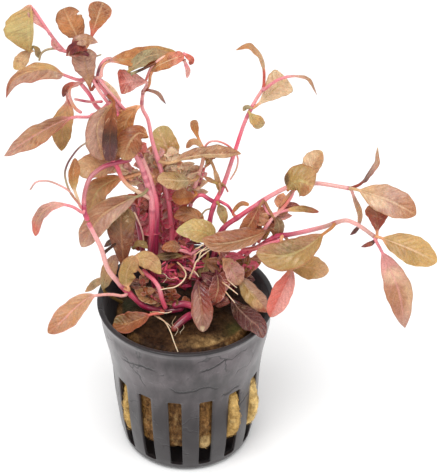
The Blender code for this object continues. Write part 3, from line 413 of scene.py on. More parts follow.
# Roots: places; radius in millimetres
ROOTS = """
150 312 -6.4, 157 317 -8.4, 165 322 -10, 170.6 332 -14, 174 342 -17.4, 178 352 -21 | 0.26
158 316 -8, 164 321 -9.4, 169 325 -10.6, 173 330 -11.6 | 0.2
177 262 -1, 183 268 -2, 186 275 -3, 182 282 -4.6, 175 287 -6, 166 288.5 -7, 160 290 -7.6 | 0.26
189 279 -2.4, 191 275 -2.2, 194 268 -1.6, 196 262 -1, 203 255 -0.6, 212 248.5 -0.4 | 0.3
198 262 -0.8, 201 252 -0.6, 206 249.5 -0.4, 213 246 -0.2 | 0.26
195 249 0, 198 248 0, 201 246 0, 206 243 0.2 | 0.26
194 256 -0.6, 200 251 -0.4, 205 248 -0.2, 209 244 0 | 0.22
193 270 -2, 196 273 -2.4, 199 277 -2.8 | 0.22
222 282 -5, 230 288 -5.6, 238 294.5 -6.6 | 0.24
225 291 -6, 229 296 -6.8, 235 303 -8.4 | 0.22
227 279 -4, 231 283 -4.4, 237 288 -5 | 0.2
152 312 -7.6, 160 312.5 -8.6, 166 313 -9, 172 311.5 -8.6 | 0.24
176 316 -8.6, 172 324 -11, 178 329 -12.4, 174 337 -14.4 | 0.08
180 320 -9.4, 184 327 -11.6, 180 333 -13.2, 185 338 -14.8 | 0.07
165 265 0, 162 271 -1.4, 167 277 -2.6, 163 283 -4.4 | 0.08
158 274 -1.8, 164 274 -2, 170 279 -3.2, 178 277 -3 | 0.08
"""


def rows(table):
    """Split a table into rows of cells."""
    lines = table.strip().replace("\n  ", " ").splitlines()
    return [[cell.strip() for cell in line.split("|")] for line in lines]


def words(cell):
    """Read a cell's numbers and words."""
    return [float(word) if word[-1].isdigit() else None if word == "-" else word for word in cell.split()]


def lists(cell):
    """Read a cell's lists, which are parted by commas."""
    return [words(part) for part in cell.split(",")]


def look_of(cell):
    """Read what differs from a plain leaf."""
    look = {}
    for entry in filter(None, cell.split(";")):
        name, values = entry.split(maxsplit=1)
        if name in ("notches", "spots"):
            look[name] = lists(values)
        else:
            look[name] = words(values) if name in ("halves", "anchor") else words(values)[0]
    return look


# ---- sizes and colours

# What each kind of value in the tables of sizes and colours is as a property
KINDS = {
    "mm": (bpy.props.FloatProperty, {"min": 0, "subtype": "DISTANCE", "unit": "LENGTH", "precision": 5}),
    "colour": (bpy.props.FloatVectorProperty, {"min": 0, "max": 1, "subtype": "COLOR", "size": 3}),
    "count": (bpy.props.IntProperty, {"min": 1}),
    "watt": (bpy.props.FloatProperty, {"min": 0, "unit": "POWER"}),
    "share": (bpy.props.FloatProperty, {"min": 0, "soft_max": 1, "subtype": "FACTOR"}),
    "level": (bpy.props.FloatProperty, {"min": 0}),
}


def linear(level):
    """Turn a colour level from 0 to 255 into a linear one from 0 to 1."""
    return ((level / 255 + 0.055) / 1.055) ** 2.4 if level > 10 else level / 255 / 12.92


def fields(table):
    """Describe the sizes and colours of a table, row by row: name, kind, default and description."""
    made = {}
    for name, kind, default, description in rows(table):
        maker, settings = KINDS[kind]
        start = words(default)
        values = {"mm": start[0] * MM, "colour": [linear(level) for level in start], "count": int(start[0])}
        made[name] = maker(name=name.replace("_", " ").capitalize(), description=description,
                           default=values.get(kind, start[0]), **settings)
    return made


class PotSizes(bpy.types.PropertyGroup):
    """Sizes of the slotted pot"""
    __annotations__ = fields("""
height | mm | 54 | Height of the pot to the top of its lip
wall | mm | 1 | Thickness of the pot's wall
floor | mm | 1.6 | Thickness of the pot's bottom
base_radius | mm | 18.2 | Radius of the flat face that the pot rests on
corner | mm | 2.6 | Rounding between bottom and wall
lip_radius | mm | 27.1 | Outer radius of the lip
slot_bottom | mm | 3.2 | Height of the slots' lower end
slot_top | mm | 31.5 | Height of the slots' upper end
slot_corner | mm | 0.7 | Rounding of the slots' corners
edge | mm | 0.16 | Rounding of the slots' edges
slots | count | 15 | Number of slots round the pot
slot_share | share | 0.44 | Share of the way round that slots take up
""")


class WoolSizes(bpy.types.PropertyGroup):
    """Sizes of the mineral wool plug and of its loose fibres"""
    __annotations__ = fields("""
bottom | mm | 10 | Height of the plug's underside
top | mm | 50 | Height of the plug's upper face
radius | mm | 21.2 | Radius of the plug above the slots
relief | mm | 1.5 | Depth of the lumps in the wool
grain | mm | 1.1 | Depth of the fine tufts in the wool
fibre_length | mm | 2.6 | Length of a loose fibre
fibre_radius | mm | 0.045 | Radius of a loose fibre
fibre_density | level | 700000 | Loose fibres on a square metre
""")


class PlantSizes(bpy.types.PropertyGroup):
    """Sizes that all leaves and stems share"""
    __annotations__ = fields("""
stalk_radius | mm | 0.48 | Half thickness of a leaf's stalk
blade | mm | 0.13 | Half thickness of a blade between its veins
midrib | mm | 0.24 | Height of the midrib on the underside
groove | mm | 0.12 | Depth of the groove over the midrib
quilting | mm | 0.13 | Rise of the blade between its side veins
margin_wave | mm | 0.3 | Height of the waves along a margin
stem_ridge | mm | 0.16 | Depth of the ridges along a stem
reach | mm | 8.2 | Farthest that a stalk is led on into its stem
slimness | share | 0.85 | Share of a stem's full radius between its nodes
""")


class PlantTones(bpy.types.PropertyGroup):
    """Colours of stems and leaves"""
    __annotations__ = fields("""
cream | colour | 238 208 172 | Roots and the palest stalks
peach | colour | 228 166 122 | Light orange leaf bases
blush | colour | 232 170 163 | Pale pink leaf bases and undersides
pink | colour | 235 144 154 | Young stalks
rose | colour | 226 88 116 | Bright stems
dusk | colour | 178 102 108 | Duller pink stems
magenta | colour | 166 34 78 | Lower stems and their nodes
wine | colour | 96 18 32 | Darkest young leaves and stems
coral | colour | 214 108 94 | Red leaves
redwood | colour | 152 70 54 | Brownish red leaves and margins
sand | colour | 214 176 132 | Pale tan leaves
tan | colour | 188 142 98 | Middle tan leaves
clay | colour | 168 116 78 | Darker tan leaves
amber | colour | 190 126 70 | Orange brown leaves
rust | colour | 156 84 40 | Rusty leaves
brown | colour | 120 66 36 | Brown leaves
umber | colour | 62 32 14 | Darkest brown leaves
straw | colour | 200 164 100 | Yellowish leaves
olive | colour | 172 138 76 | Olive leaves
moss | colour | 132 108 58 | Darker olive leaves
lime | colour | 200 184 122 | Pale green leaves
sage | colour | 160 146 108 | Grey green leaves
mauve | colour | 184 144 128 | Grey pink sheen
plum | colour | 94 54 56 | Dark mauve leaves
""")


class HousingTones(bpy.types.PropertyGroup):
    """Colours of the pot and its wool"""
    __annotations__ = fields("""
plastic | colour | 34 27 29 | Black plastic of the pot
plastic_worn | colour | 96 84 88 | Dulled places of the plastic
wool | colour | 190 146 62 | Dry mineral wool
wool_pale | colour | 230 206 150 | Loose tufts of the wool
wool_damp | colour | 131 94 54 | Damp brown wool
wool_wet | colour | 48 26 14 | Wet dark wool on top of the plug
wool_dark | colour | 24 14 9 | Deep pits of the wool
algae | colour | 106 104 50 | Greenish film on the wool
moss_film | colour | 52 56 34 | Dark moss beside the stems
""")


class StageSizes(bpy.types.PropertyGroup):
    """Floor, lights and surroundings"""
    __annotations__ = fields("""
floor_side | mm | 3000 | Side of the square floor
floor_shade | colour | 250 250 250 | Colour of the floor
sky | level | 0.8 | Brightness of the white surroundings
key | watt | 4.6 | Power of the large light above the left
fill | watt | 1.3 | Power of the light at the right
""")


GROUPS = {"plant_pot": PotSizes, "plant_wool": WoolSizes, "plant_sizes": PlantSizes,
          "plant_tones": PlantTones, "plant_housing": HousingTones, "plant_stage": StageSizes}


def group(name):
    """Give one group of sizes or colours of the current scene."""
    return getattr(bpy.context.scene, name)


def tone(name):
    """Give a named colour with its alpha."""
    holder = group("plant_tones")
    if not hasattr(holder, name):
        holder = group("plant_housing")
    return (*getattr(holder, name), 1.0)


# ---- node trees written as Python

class Wire:
    """One output socket. Python's operators on it add Math nodes to its tree."""

    def __init__(self, net, socket):
        self.net = net
        self.socket = socket

    def other(self, output):
        """Give another output of the same node."""
        return Wire(self.net, self.socket.node.outputs[output])

    def maths(self, operation, *values, clamp=False):
        """Add one Math node."""
        return self.net.node("ShaderNodeMath", enumerate(values), operation=operation, use_clamp=clamp)

    def __abs__(self):
        return self.maths("ABSOLUTE", self)

    def fraction(self):
        """Give the part after the decimal point."""
        return self.maths("FRACT", self)

    def limited(self):
        """Hold the value between 0 and 1."""
        return self.maths("ADD", self, 0.0, clamp=True)

    def step(self, low, high):
        """Rise smoothly from 0 at low to 1 at high."""
        return self.net.node("ShaderNodeMapRange", {0: self, 1: low, 2: high},
                             interpolation_type="SMOOTHSTEP")


def operators(operation):
    """Give the two methods of one of Python's operators: the wire first, or the other value first."""
    return (lambda wire, value: wire.maths(operation, wire, value),
            lambda wire, value: wire.maths(operation, value, wire))


for sign, operation in (("add", "ADD"), ("sub", "SUBTRACT"), ("mul", "MULTIPLY"), ("truediv", "DIVIDE"),
                        ("pow", "POWER")):
    wire_first, value_first = operators(operation)
    setattr(Wire, f"__{sign}__", wire_first)
    setattr(Wire, f"__r{sign}__", value_first)


class Net:
    """A node tree that is built by calls."""

    def __init__(self, tree):
        self.tree = tree

    def node(self, kind, sockets=(), out=0, **settings):
        """Add one node: its settings first, then its sockets' values or links."""
        made = self.tree.nodes.new(kind)
        for key, value in settings.items():
            if key == "stops":
                elements = made.color_ramp.elements
                while len(elements) < len(value):
                    elements.new(0.5)
                for element, (position, colour) in zip(elements, value):
                    element.position = position
                    element.color = colour
            else:
                setattr(made, key, value)
        for key, value in dict(sockets).items():
            if isinstance(value, Wire):
                self.tree.links.new(value.socket, made.inputs[key])
            else:
                made.inputs[key].default_value = value
        return Wire(self, made.outputs[out] if made.outputs else None)

    def mix(self, factor, first, second, blend="MIX"):
        """Blend two colours."""
        return self.node("ShaderNodeMix", {0: factor, 6: first, 7: second}, out=2, data_type="RGBA",
                         blend_type=blend)

    def vector(self, operation, first, second):
        """Add one Vector Math node."""
        return self.node("ShaderNodeVectorMath", {0: first, 1: second}, operation=operation)

    def stretched(self, vector, x, y, z):
        """Scale a vector by one number for each direction."""
        return self.vector("MULTIPLY", vector, (x, y, z))

    def joined(self, x=0.0, y=0.0, z=0.0):
        """Join three numbers to a vector."""
        return self.node("ShaderNodeCombineXYZ", {0: x, 1: y, 2: z})

    def parts(self, vector):
        """Split a vector into its three numbers."""
        split = self.node("ShaderNodeSeparateXYZ", {0: vector})
        return split, split.other(1), split.other(2)

    def noise(self, place, scale, detail=3.0, roughness=0.55, seed=0.0):
        """Give a noise between 0 and 1 over places in space."""
        return self.node("ShaderNodeTexNoise", {"Vector": place, "W": seed, "Scale": scale,
                                                "Detail": detail, "Roughness": roughness},
                         noise_dimensions="4D")

    def cells(self, place, scale, feature="DISTANCE_TO_EDGE"):
        """Give the distance to the edge of uneven cells in space, or with F1 to their middles."""
        return self.node("ShaderNodeTexVoronoi", {"Vector": place, "Scale": scale}, feature=feature)


class Finish(Net):
    """A procedural material around one shader. Its colour is painted on in layers."""

    def __init__(self, name, colour=None, **plain):
        self.material = bpy.data.materials.new(name)
        self.material.use_nodes = True
        super().__init__(self.material.node_tree)
        self.shader = self.tree.nodes["Principled BSDF"]
        for key, value in plain.items():
            self.shader.inputs[key.replace("_", " ")].default_value = value
        self.colour = colour
        self.where = self.node("ShaderNodeTexCoord", out="Object")

    def attribute(self, name, out="Fac"):
        """Read one of the mesh's own attributes."""
        return self.node("ShaderNodeAttribute", out=out, attribute_name=name)

    def paint(self, mask, shade, blend="MIX"):
        """Lay a tone, given by its name or as a colour, over what is painted so far."""
        self.colour = self.mix(mask, self.colour, tone(shade) if isinstance(shade, str) else shade, blend)

    def temper(self, mask, low, high):
        """Multiply what is painted so far by shades from low to high."""
        self.paint(1.0, self.mix(mask, (*low, 1), (*high, 1)), "MULTIPLY")

    def close(self, bump=None, **wires):
        """Lead the colour, a bump (height, distance, strength) and other wires into the shader."""
        wires["Base_Color"] = self.colour
        if bump:
            wires["Normal"] = self.node("ShaderNodeBump", zip(("Height", "Distance", "Strength"), bump))
        for socket, wire in wires.items():
            self.tree.links.new(wire.socket, self.shader.inputs[socket.replace("_", " ")])
        return self.material


class Grower(Net):
    """A geometry tree with named inputs. It ends in Realize Instances and Set Material."""

    def __init__(self, name, **inputs):
        super().__init__(bpy.data.node_groups.new(name, "GeometryNodeTree"))
        for label, kind in {"Geometry": "Geometry", **inputs, "Material": "Material"}.items():
            self.tree.interface.new_socket(name=label, in_out="INPUT", socket_type="NodeSocket" + kind)
        self.tree.interface.new_socket(name="Geometry", in_out="OUTPUT", socket_type="NodeSocketGeometry")
        self.inputs = self.node("NodeGroupInput")

    def __getitem__(self, label):
        """Give one of the tree's inputs."""
        return self.inputs.other(label)

    def stored(self, name, kind="FLOAT"):
        """Read a named attribute."""
        return self.node("GeometryNodeInputNamedAttribute", {"Name": name}, data_type=kind)

    def pushed(self, geometry, rise):
        """Move a surface's points outwards by the rise."""
        offset = self.node("ShaderNodeVectorMath", {0: self.node("GeometryNodeInputNormal"), "Scale": rise},
                           operation="SCALE")
        return self.node("GeometryNodeSetPosition", {"Geometry": geometry, "Offset": offset})

    def end(self, geometry):
        """Close the tree."""
        real = self.node("GeometryNodeRealizeInstances", {0: geometry})
        smooth = self.node("GeometryNodeSetShadeSmooth", {0: real})
        done = self.node("GeometryNodeSetMaterial", {"Geometry": smooth, "Material": self["Material"]})
        self.node("NodeGroupOutput", {0: done})
        return self.tree


# ---- pieces

def add_object(name, data):
    """Add an object with its data to the scene."""
    made = bpy.data.objects.new(name, data)
    bpy.context.scene.collection.objects.link(made)
    return made


def new_piece(name, points, faces, edges=()):
    """Make an object at the origin out of points and faces, or points and edges."""
    mesh = bpy.data.meshes.new(name)
    mesh.from_pydata([tuple(p) for p in points], edges, faces)
    return add_object(name, mesh)


def store(mesh, name, values, kind="FLOAT"):
    """Keep one value or vector at each of the mesh's points."""
    layer = mesh.attributes.new(name, kind, "POINT")
    flat = np.ascontiguousarray(values, np.float32).ravel()
    layer.data.foreach_set("value" if kind == "FLOAT" else "vector", flat)


def grow(piece, tree, **values):
    """Run a geometry tree on the piece and keep its result as a plain mesh."""
    modifier = piece.modifiers.new(tree.name, "NODES")
    modifier.node_group = tree
    for item in tree.interface.items_tree:
        if item.in_out == "INPUT" and item.name in values:
            modifier[item.identifier] = values[item.name]
    graph = bpy.context.evaluated_depsgraph_get()
    mesh = bpy.data.meshes.new_from_object(piece.evaluated_get(graph), depsgraph=graph,
                                           preserve_all_data_layers=True)
    piece.modifiers.clear()
    if not mesh.polygons:
        raise RuntimeError(f"{tree.name} made no faces for {piece.name}")
    piece.data = mesh
    mesh.name = piece.name


def quads(rows, count, first=0, closed=True):
    """Join rows of points with faces. The rows' points are numbered from first on."""
    faces = []
    for start in range(first, first + (rows - 1) * count, count):
        for spot in range(count if closed else count - 1):
            after = (spot + 1) % count
            faces.append((start + spot, start + after, start + count + after, start + count + spot))
    return faces


def face_outwards(mesh, merge=0.0):
    """Merge doubles and turn all faces outwards."""
    data = bmesh.new()
    data.from_mesh(mesh)
    if merge:
        bmesh.ops.remove_doubles(data, verts=data.verts, dist=merge)
    bmesh.ops.recalc_face_normals(data, faces=data.faces)
    data.to_mesh(mesh)
    data.free()


def hand_over(piece, slot, *nodes):
    """Hang the piece on the root and hide the solids it stands for. The slot is not used."""
    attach(piece, "root")
    if nodes:
        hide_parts(*nodes)


# ---- places in the picture

def unit(vectors):
    """Scale vectors to length 1."""
    return vectors / np.linalg.norm(vectors, axis=-1, keepdims=True)


def view_axes():
    """Give the picture's right, up and forward directions."""
    forward = np.array([0.0, cos(VIEW_TILT), -sin(VIEW_TILT)])
    level_right = np.array([1.0, 0.0, 0.0])
    level_up = np.cross(level_right, forward)
    right = level_right * cos(VIEW_ROLL) + level_up * sin(VIEW_ROLL)
    up = level_up * cos(VIEW_ROLL) - level_right * sin(VIEW_ROLL)
    return right, up, forward


def view_ray(across, down):
    """Give the direction from the viewer's eye through a point of the picture."""
    right, up, forward = view_axes()
    return (forward + right * ((across - PICTURE_MIDDLE[0]) / VIEW_SCALE)
            - up * ((down - PICTURE_MIDDLE[1]) / VIEW_SCALE))


EYE = np.array([0.0, 0.0, RIM_HEIGHT]) - view_ray(*RIM_PLACE) * VIEW_DISTANCE


def sight(place):
    """Turn a place (across, down, depth in millimetres) into a point in metres."""
    ray = view_ray(place[0], place[1])
    return EYE + ray * ((place[2] * MM - EYE[1]) / ray[1])


def smooth_route(points):
    """Give many points of one smooth curve through the points."""
    ends = [points[0] * 2 - points[1], *points, points[-1] * 2 - points[-2]]
    shares = np.arange(ROUTE_STEPS)[:, None] / ROUTE_STEPS
    route = []
    for first, start, end, last in zip(ends, ends[1:], ends[2:], ends[3:]):
        square_part = first * 2 - start * 5 + end * 4 - last
        cube_part = start * 3 - first - end * 3 + last
        route.append(start + (end - first + square_part * shares + cube_part * shares ** 2)
                     * (shares / 2))
    return np.vstack([*route, points[-1][None]])


def route_of(places):
    """Give the smooth route through a cell of places."""
    return smooth_route([sight(place) for place in lists(places)])


def route_length(route):
    """Give the distance along the route to each of its points."""
    return np.concatenate([[0.0], np.cumsum(np.linalg.norm(np.diff(route, axis=0), axis=1))])


def on_route(route, distances):
    """Give the points at the given distances along the route."""
    run = route_length(route)
    return np.stack([np.interp(distances, run, route[:, axis]) for axis in range(3)], axis=1)


# ---- leaves

# Places across half a blade, from the midrib (0) to the margin (1)
HALF_STEPS = np.array([0, 0.05, 0.11, 0.19, 0.29, 0.40, 0.51, 0.62, 0.72, 0.81, 0.89, 0.95, 0.985, 1])
CROWD_STEPS = np.array([0, 0.2, 0.5, 0.85, 1])
# Powers of an outline's rise and fall where a row gives none, and in the crowd
PLAIN_OUTLINE = (0.8, 0.65)
CROWD_OUTLINE = (0.6, 0.95)
# Rings of points along a stalk and along each kind of blade
STALK_ROWS = 9
BLADE_ROWS = 42
YOUNG_ROWS = 30
CROWD_ROWS = 11
# A stalk's radius along the leaf, as (along, share of the stalk's radius)
STALK_TAPER = ((-1, 1.35), (-0.8, 1.0), (0, 0.9), (0.5, 0.5), (1, 0.12))
# Side veins on each half of a blade, and how far they slant forwards, in gaps between veins
VEINS = 7
VEIN_SLANT = 2.1
# Stretch of a leaf before and behind a place that gives its direction there
DIRECTION_REACH = 0.9 * MM
LEAST_GAP = 0.3 * MM
MIDRIB_HALF_WIDTH = 0.42 * MM
FULL_TURN = 2 * pi


def soft_step(values):
    """Rise smoothly from 0 to 1."""
    held = np.clip(values, 0, 1)
    return held * held * (3 - 2 * held)


def blade_width(along, outline):
    """Give the blade's width along it as a share of its widest."""
    rise, fall = outline
    widest = rise / (rise + fall)
    held = np.clip(along, 1e-6, 1 - 1e-6)
    return (held / widest) ** rise * ((1 - held) / (1 - widest)) ** fall * (along > 0)


def stem_anchor(point, reach, routes):
    """Give the nearest point on any stem's axis, or nothing if it is out of reach."""
    best, found = reach, None
    for route in routes.values():
        gaps = np.linalg.norm(route - point, axis=1)
        if gaps.min() < best:
            best, found = gaps.min(), route[gaps.argmin()]
    return found


def leaf_points(points, left, right, stalk, lean, fold, outline, seed, anchor=None, curl=0.0, wave=1.0,
                notches=(), bend=0.0, rows=BLADE_ROWS, steps=HALF_STEPS):
    """Give a leaf's rings of points, with each point's (along, across, upper side) and blade share.

    Curl rolls the margins towards the face, in degrees at the margin. Wave scales the margin's waves.
    A notch is (side, along, size, depth). Bend bows the blade's tip down from its face, in millimetres.
    """
    sizes = group("plant_sizes")
    draw = np.random.default_rng(seed)
    route = smooth_route(points)
    if anchor is not None:
        gap = np.linalg.norm(points[0] - anchor)
        if gap > LEAST_GAP:
            length = route_length(route)[-1]
            stalk = (stalk * length + gap) / (length + gap)
            route = smooth_route([anchor, *points])
    length = route_length(route)[-1]
    # Rings stand closer together near the stalk and the tip
    turn = np.linspace(0, 1, rows)
    blade_along = 0.35 * turn + 0.65 * (1 - np.cos(pi * turn)) / 2
    shares = np.concatenate([np.linspace(0, stalk, STALK_ROWS)[:-1], stalk + (1 - stalk) * blade_along])
    along = (shares - stalk) / np.where(shares < stalk, stalk, 1 - stalk)
    middle = on_route(route, shares * length)
    ahead = on_route(route, np.minimum(shares * length + DIRECTION_REACH, length))
    behind = on_route(route, np.maximum(shares * length - DIRECTION_REACH, 0))
    direction = unit(ahead - behind)

    # The blade faces the viewer, and leans from there up to the sky
    sky_side = -1 if points[-1][0] > points[0][0] else 1
    to_viewer = unit(EYE - middle)
    facing = unit(to_viewer - direction * np.sum(to_viewer * direction, axis=1, keepdims=True))
    across_way = np.cross(direction, facing)
    angle = radians(lean)
    facing = facing * cos(angle) + across_way * sin(angle) * sky_side
    sideways = np.cross(direction, facing)

    # Each ring runs over the upper side from one margin to the other and back below
    across = np.concatenate([steps[::-1], -steps[1:], -steps[-2:0:-1], steps[:-1]])
    upper_count = 2 * len(steps) - 1
    side = np.where(np.arange(len(across)) < upper_count, 1.0, -1.0)
    side[[0, upper_count - 1]] = 0
    out = np.abs(across)[None]
    held = np.clip(along, 0, 1)[:, None]

    def waves(number, phases):
        return np.sin(FULL_TURN * number * held + phases)

    width = blade_width(along, outline)[:, None] * np.where(across < 0, left, right)[None] * MM
    phase = draw.uniform(0, FULL_TURN, (4, 2))
    half_phase = phase[:, (across > 0).astype(int)]
    width = width * (1 + 0.035 * waves(2.3, half_phase[0]) + 0.02 * waves(5.7, half_phase[1]))
    for notch_side, at, size, depth in notches:
        cut = np.clip(1 - np.abs(held - at) / size, 0, 1) ** 0.7 * depth
        width = width * (1 - cut * (across * notch_side > 0)[None])
    least = sizes.stalk_radius * np.interp(along, *zip(*STALK_TAPER))
    half = np.sqrt(width ** 2 + least[:, None] ** 2)
    blade = soft_step((width / sizes.stalk_radius - 0.3) / 2.4)

    # Curl bends each half to an arc, and fold then tips it about the midrib
    bow = np.radians(curl) * out * blade
    flat = np.abs(bow) < 1e-4
    safe = np.where(flat, 1e-4, bow)
    outward = half * out * np.where(flat, 1, np.sin(safe) / safe)
    rise = half * out * np.where(flat, 0, (1 - np.cos(safe)) / safe)
    fold_angle = np.radians(fold) * blade
    shift = outward * np.cos(fold_angle) - rise * np.sin(fold_angle)
    lift = rise * np.cos(fold_angle) + (np.sqrt(outward ** 2 + (0.05 * half) ** 2)
                                        - 0.05 * half) * np.sin(fold_angle)
    size_share = np.minimum(half / (4 * MM), 1.1)
    waving = waves(1.6, half_phase[2]) + 0.6 * waves(3.7, half_phase[3])
    lift = lift + waving * sizes.margin_wave * wave * out ** 1.8 * size_share * blade
    vein_turn = FULL_TURN * (VEINS * held - VEIN_SLANT * out)
    lift = lift - (sizes.quilting * np.cos(vein_turn) * np.sqrt(np.sin(pi * np.clip(out, 0, 1)).clip(0))
                   * blade * size_share)
    lift = lift - bend * MM * held ** 2
    near_midrib = np.exp(-(out * half / MIDRIB_HALF_WIDTH) ** 2) * blade
    thickness = sizes.blade * np.sqrt(1 - out ** 4) * np.sqrt(1 - 0.9 * held ** 6)
    body = (1 - blade) * least[:, None] * np.sqrt(1 - out ** 2) + blade * thickness
    lift = lift + np.where(side > 0, body - near_midrib * sizes.groove,
                           -body - near_midrib * sizes.midrib * (1 - held) * (side < 0))

    rings = (middle[:, None] + sideways[:, None] * (np.sign(across)[None] * shift)[..., None]
             + facing[:, None] * lift[..., None])
    columns = (along[:, None], across[None], (side[None] + 1) / 2)
    marks = np.stack([np.broadcast_to(column, half.shape) for column in columns], axis=2)
    return rings, marks, blade


def make_blades(name, blades, material, slot, nodes=()):
    """Make one piece of closed blades, each given as rings, marks, blade share and colour."""
    faces, first = [], 0
    for rings, *_ in blades:
        rows, count = rings.shape[:2]
        faces += quads(rows, count, first)
        faces.append(tuple(first + spot for spot in reversed(range(count))))
        first += rows * count
        faces.append(tuple(first - count + spot for spot in range(count)))
    points, marks, shares = (np.concatenate([blade[k].reshape(-1, size) for blade in blades])
                             for k, size in enumerate((3, 3, 1)))
    piece = new_piece(name, points, faces)
    mesh = piece.data
    store(mesh, "leaf_place", marks, "FLOAT_VECTOR")
    store(mesh, "blade_share", shares)
    tints = [np.tile(blade[3], (blade[0].size // 3, 1)) for blade in blades]
    store(mesh, "tint", np.concatenate(tints), "FLOAT_VECTOR")
    face_outwards(mesh)
    mesh.shade_smooth()
    mesh.materials.append(material)
    hand_over(piece, slot, *nodes)


def crowd_blades(order, route, count, length, width, tones):
    """Give the blades that crowd round one shoot, in turn left and right up its length."""
    draw = np.random.default_rng(300 + order)
    right, _, forward = view_axes()
    total = route_length(route)[-1]
    blades = []
    for number in range(int(count)):
        share = 0.12 + 0.88 * (number + draw.uniform(0, 0.9)) / count
        base, ahead = on_route(route, np.array([share, share + 0.02]) * total * 0.98)
        turn = draw.uniform(0.3, 1.4) * (1 if number % 2 else -1)
        heading = unit(unit(ahead - base) * cos(turn) + right * sin(turn)
                       + forward * draw.uniform(-0.35, 0.6))
        reach = length * MM * draw.uniform(0.6, 1.2)
        droop = np.array([0, 0, -0.5 * reach * draw.uniform(0, 1)])
        half = width * draw.uniform(0.6, 1.3)
        points = [base + heading * reach * t + droop * t * t for t in (0, 0.33, 0.66, 1)]
        made = leaf_points(points, half, half, 0.12, draw.uniform(-40, 50), 12, CROWD_OUTLINE, 0,
                           curl=draw.uniform(-40, 40), wave=draw.uniform(1, 2.5), rows=CROWD_ROWS,
                           steps=CROWD_STEPS)
        blades.append((*made, tone(draw.choice(tones))[:3]))
    return blades


def leaf_finish(name, tones, patch="clay", amount=0.3, margin="redwood", under="mauve", rib="sand",
                halves=(None, None), spots=(), dots=0.0, gloss=0.42, streak=1.0, seed=0.0):
    """Make a leaf's finish.

    Tones are four names from stalk to tip, or nothing where each blade keeps its own colour. Halves
    tint the left and right half. A spot is (tone, along, across, length, width, strength).
    """
    finish = Finish(name, Specular_IOR_Level=0.36, Subsurface_Weight=0.18, Subsurface_Scale=0.0012,
                    Subsurface_Radius=(1.0, 0.35, 0.2), Coat_Roughness=0.3)
    where = finish.where
    along, across, upper = finish.parts(finish.attribute("leaf_place", "Vector"))
    blade = finish.attribute("blade_share")
    out = abs(across)
    cloud = finish.noise(where, 170, 4.0, 0.6, seed)
    mottle = finish.noise(where, 620, 4.0, 0.65, seed + 3)
    grain = finish.noise(where, 3200, 2.0, 0.5, seed + 7)
    if tones:
        stalk, base, middle, tip = (tone(t) for t in tones)
        stops = [(0.0, stalk), (0.19, stalk), (0.32, base), (0.62, middle), (0.95, tip)]
        place = (along * 0.8 + 0.2 + (cloud - 0.5) * 0.22).limited()
        finish.colour = finish.node("ShaderNodeValToRGB", {"Fac": place}, stops=stops)
    else:
        finish.colour = finish.attribute("tint", "Color")
    finish.paint((cloud * 0.55 + mottle * 0.45).step(0.46, 0.62) * blade * amount, patch)
    left, right = halves
    for half_tone, share in ((left, 0.0 - across), (right, across)):
        if half_tone:
            finish.paint((share + (cloud - 0.5) * 0.35).step(-0.05, 0.22) * blade * 0.75, half_tone)
    # Some spots are painted highlights: the cream spots of heart_wet and right_tip_tan and the blush spot in
    # the middle of centre_crown_red.
    for spot_tone, at, beside, length, width, strength in spots:
        reach = ((along - at) / length) ** 2 + ((across - beside) / width) ** 2
        finish.paint((1 - (reach + (mottle - 0.5) * 0.7).step(0.35, 1.2)) * strength, spot_tone)
    # Side veins run forwards from the midrib, and finer veins fill the fields between them
    vein_turn = (along * VEINS - out * VEIN_SLANT + (mottle - 0.5) * 0.12).fraction()
    side_vein = (abs(vein_turn - 0.5) * 2).step(0.80, 0.98) * (1 - out.step(0.75, 1.0)) * blade
    net_vein = (1 - finish.cells(where, 1150.0).step(0.0, 0.11)) * blade
    midrib = (1 - out.step(0.035, 0.13)) * blade * (1 - along.step(0.6, 1.0) * 0.7)
    if dots:
        speck = 1 - finish.cells(where, 700.0, "F1").step(0.16, 0.34)
        finish.paint(speck * cloud.step(0.42, 0.6) * blade * dots, "cream")
    # Dark and pale streaks lie along the side veins. The dark streaks are the blade's colour; the pale cream
    # streaks are painted sheen highlights.
    along_veins = finish.joined(vein_turn * 0.6 + along * VEINS, out * 1.2, upper * 3.0)
    streaks = finish.noise(finish.vector("ADD", along_veins, finish.stretched(where, 300.0, 300.0, 300.0)),
                           1.0, 3.0, 0.6, seed + 5)
    finish.paint((1 - streaks.step(0.32, 0.50)) * blade * streak, (0.60, 0.46, 0.40, 1), "MULTIPLY")
    finish.paint(streaks.step(0.55, 0.70) * blade * (0.18 + 0.24 * streak), "cream")
    finish.paint(net_vein * 0.14 + side_vein * 0.24, rib)
    finish.paint(midrib * 0.50, rib)
    finish.paint((out + (mottle - 0.5) * 0.12).step(0.84, 1.0) * blade * 0.5, margin)
    finish.paint((1 - upper) * blade * 0.3, under)
    finish.temper((grain * 0.5 + mottle * 0.5).step(0.30, 0.75), (0.64, 0.61, 0.58), (1.06, 1.05, 1.02))
    height = mottle * 0.4 + grain * 0.2 - side_vein * 0.35 - net_vein * 0.2 - midrib * 0.35
    return finish.close((height, 0.2 * MM, 0.9),
                        Roughness=gloss + (mottle - 0.5) * 0.24 + side_vein * 0.08,
                        Coat_Weight=blade * (0.06 + cloud.step(0.45, 0.7) * 0.30))


# ---- stems, twigs and roots

# Rings of a stem's rounded end, and how far and by what share a stem swells round a node
CAP_ROWS = 4
NODE_REACH = 1.2 * MM
NODE_SWELLING = 0.15


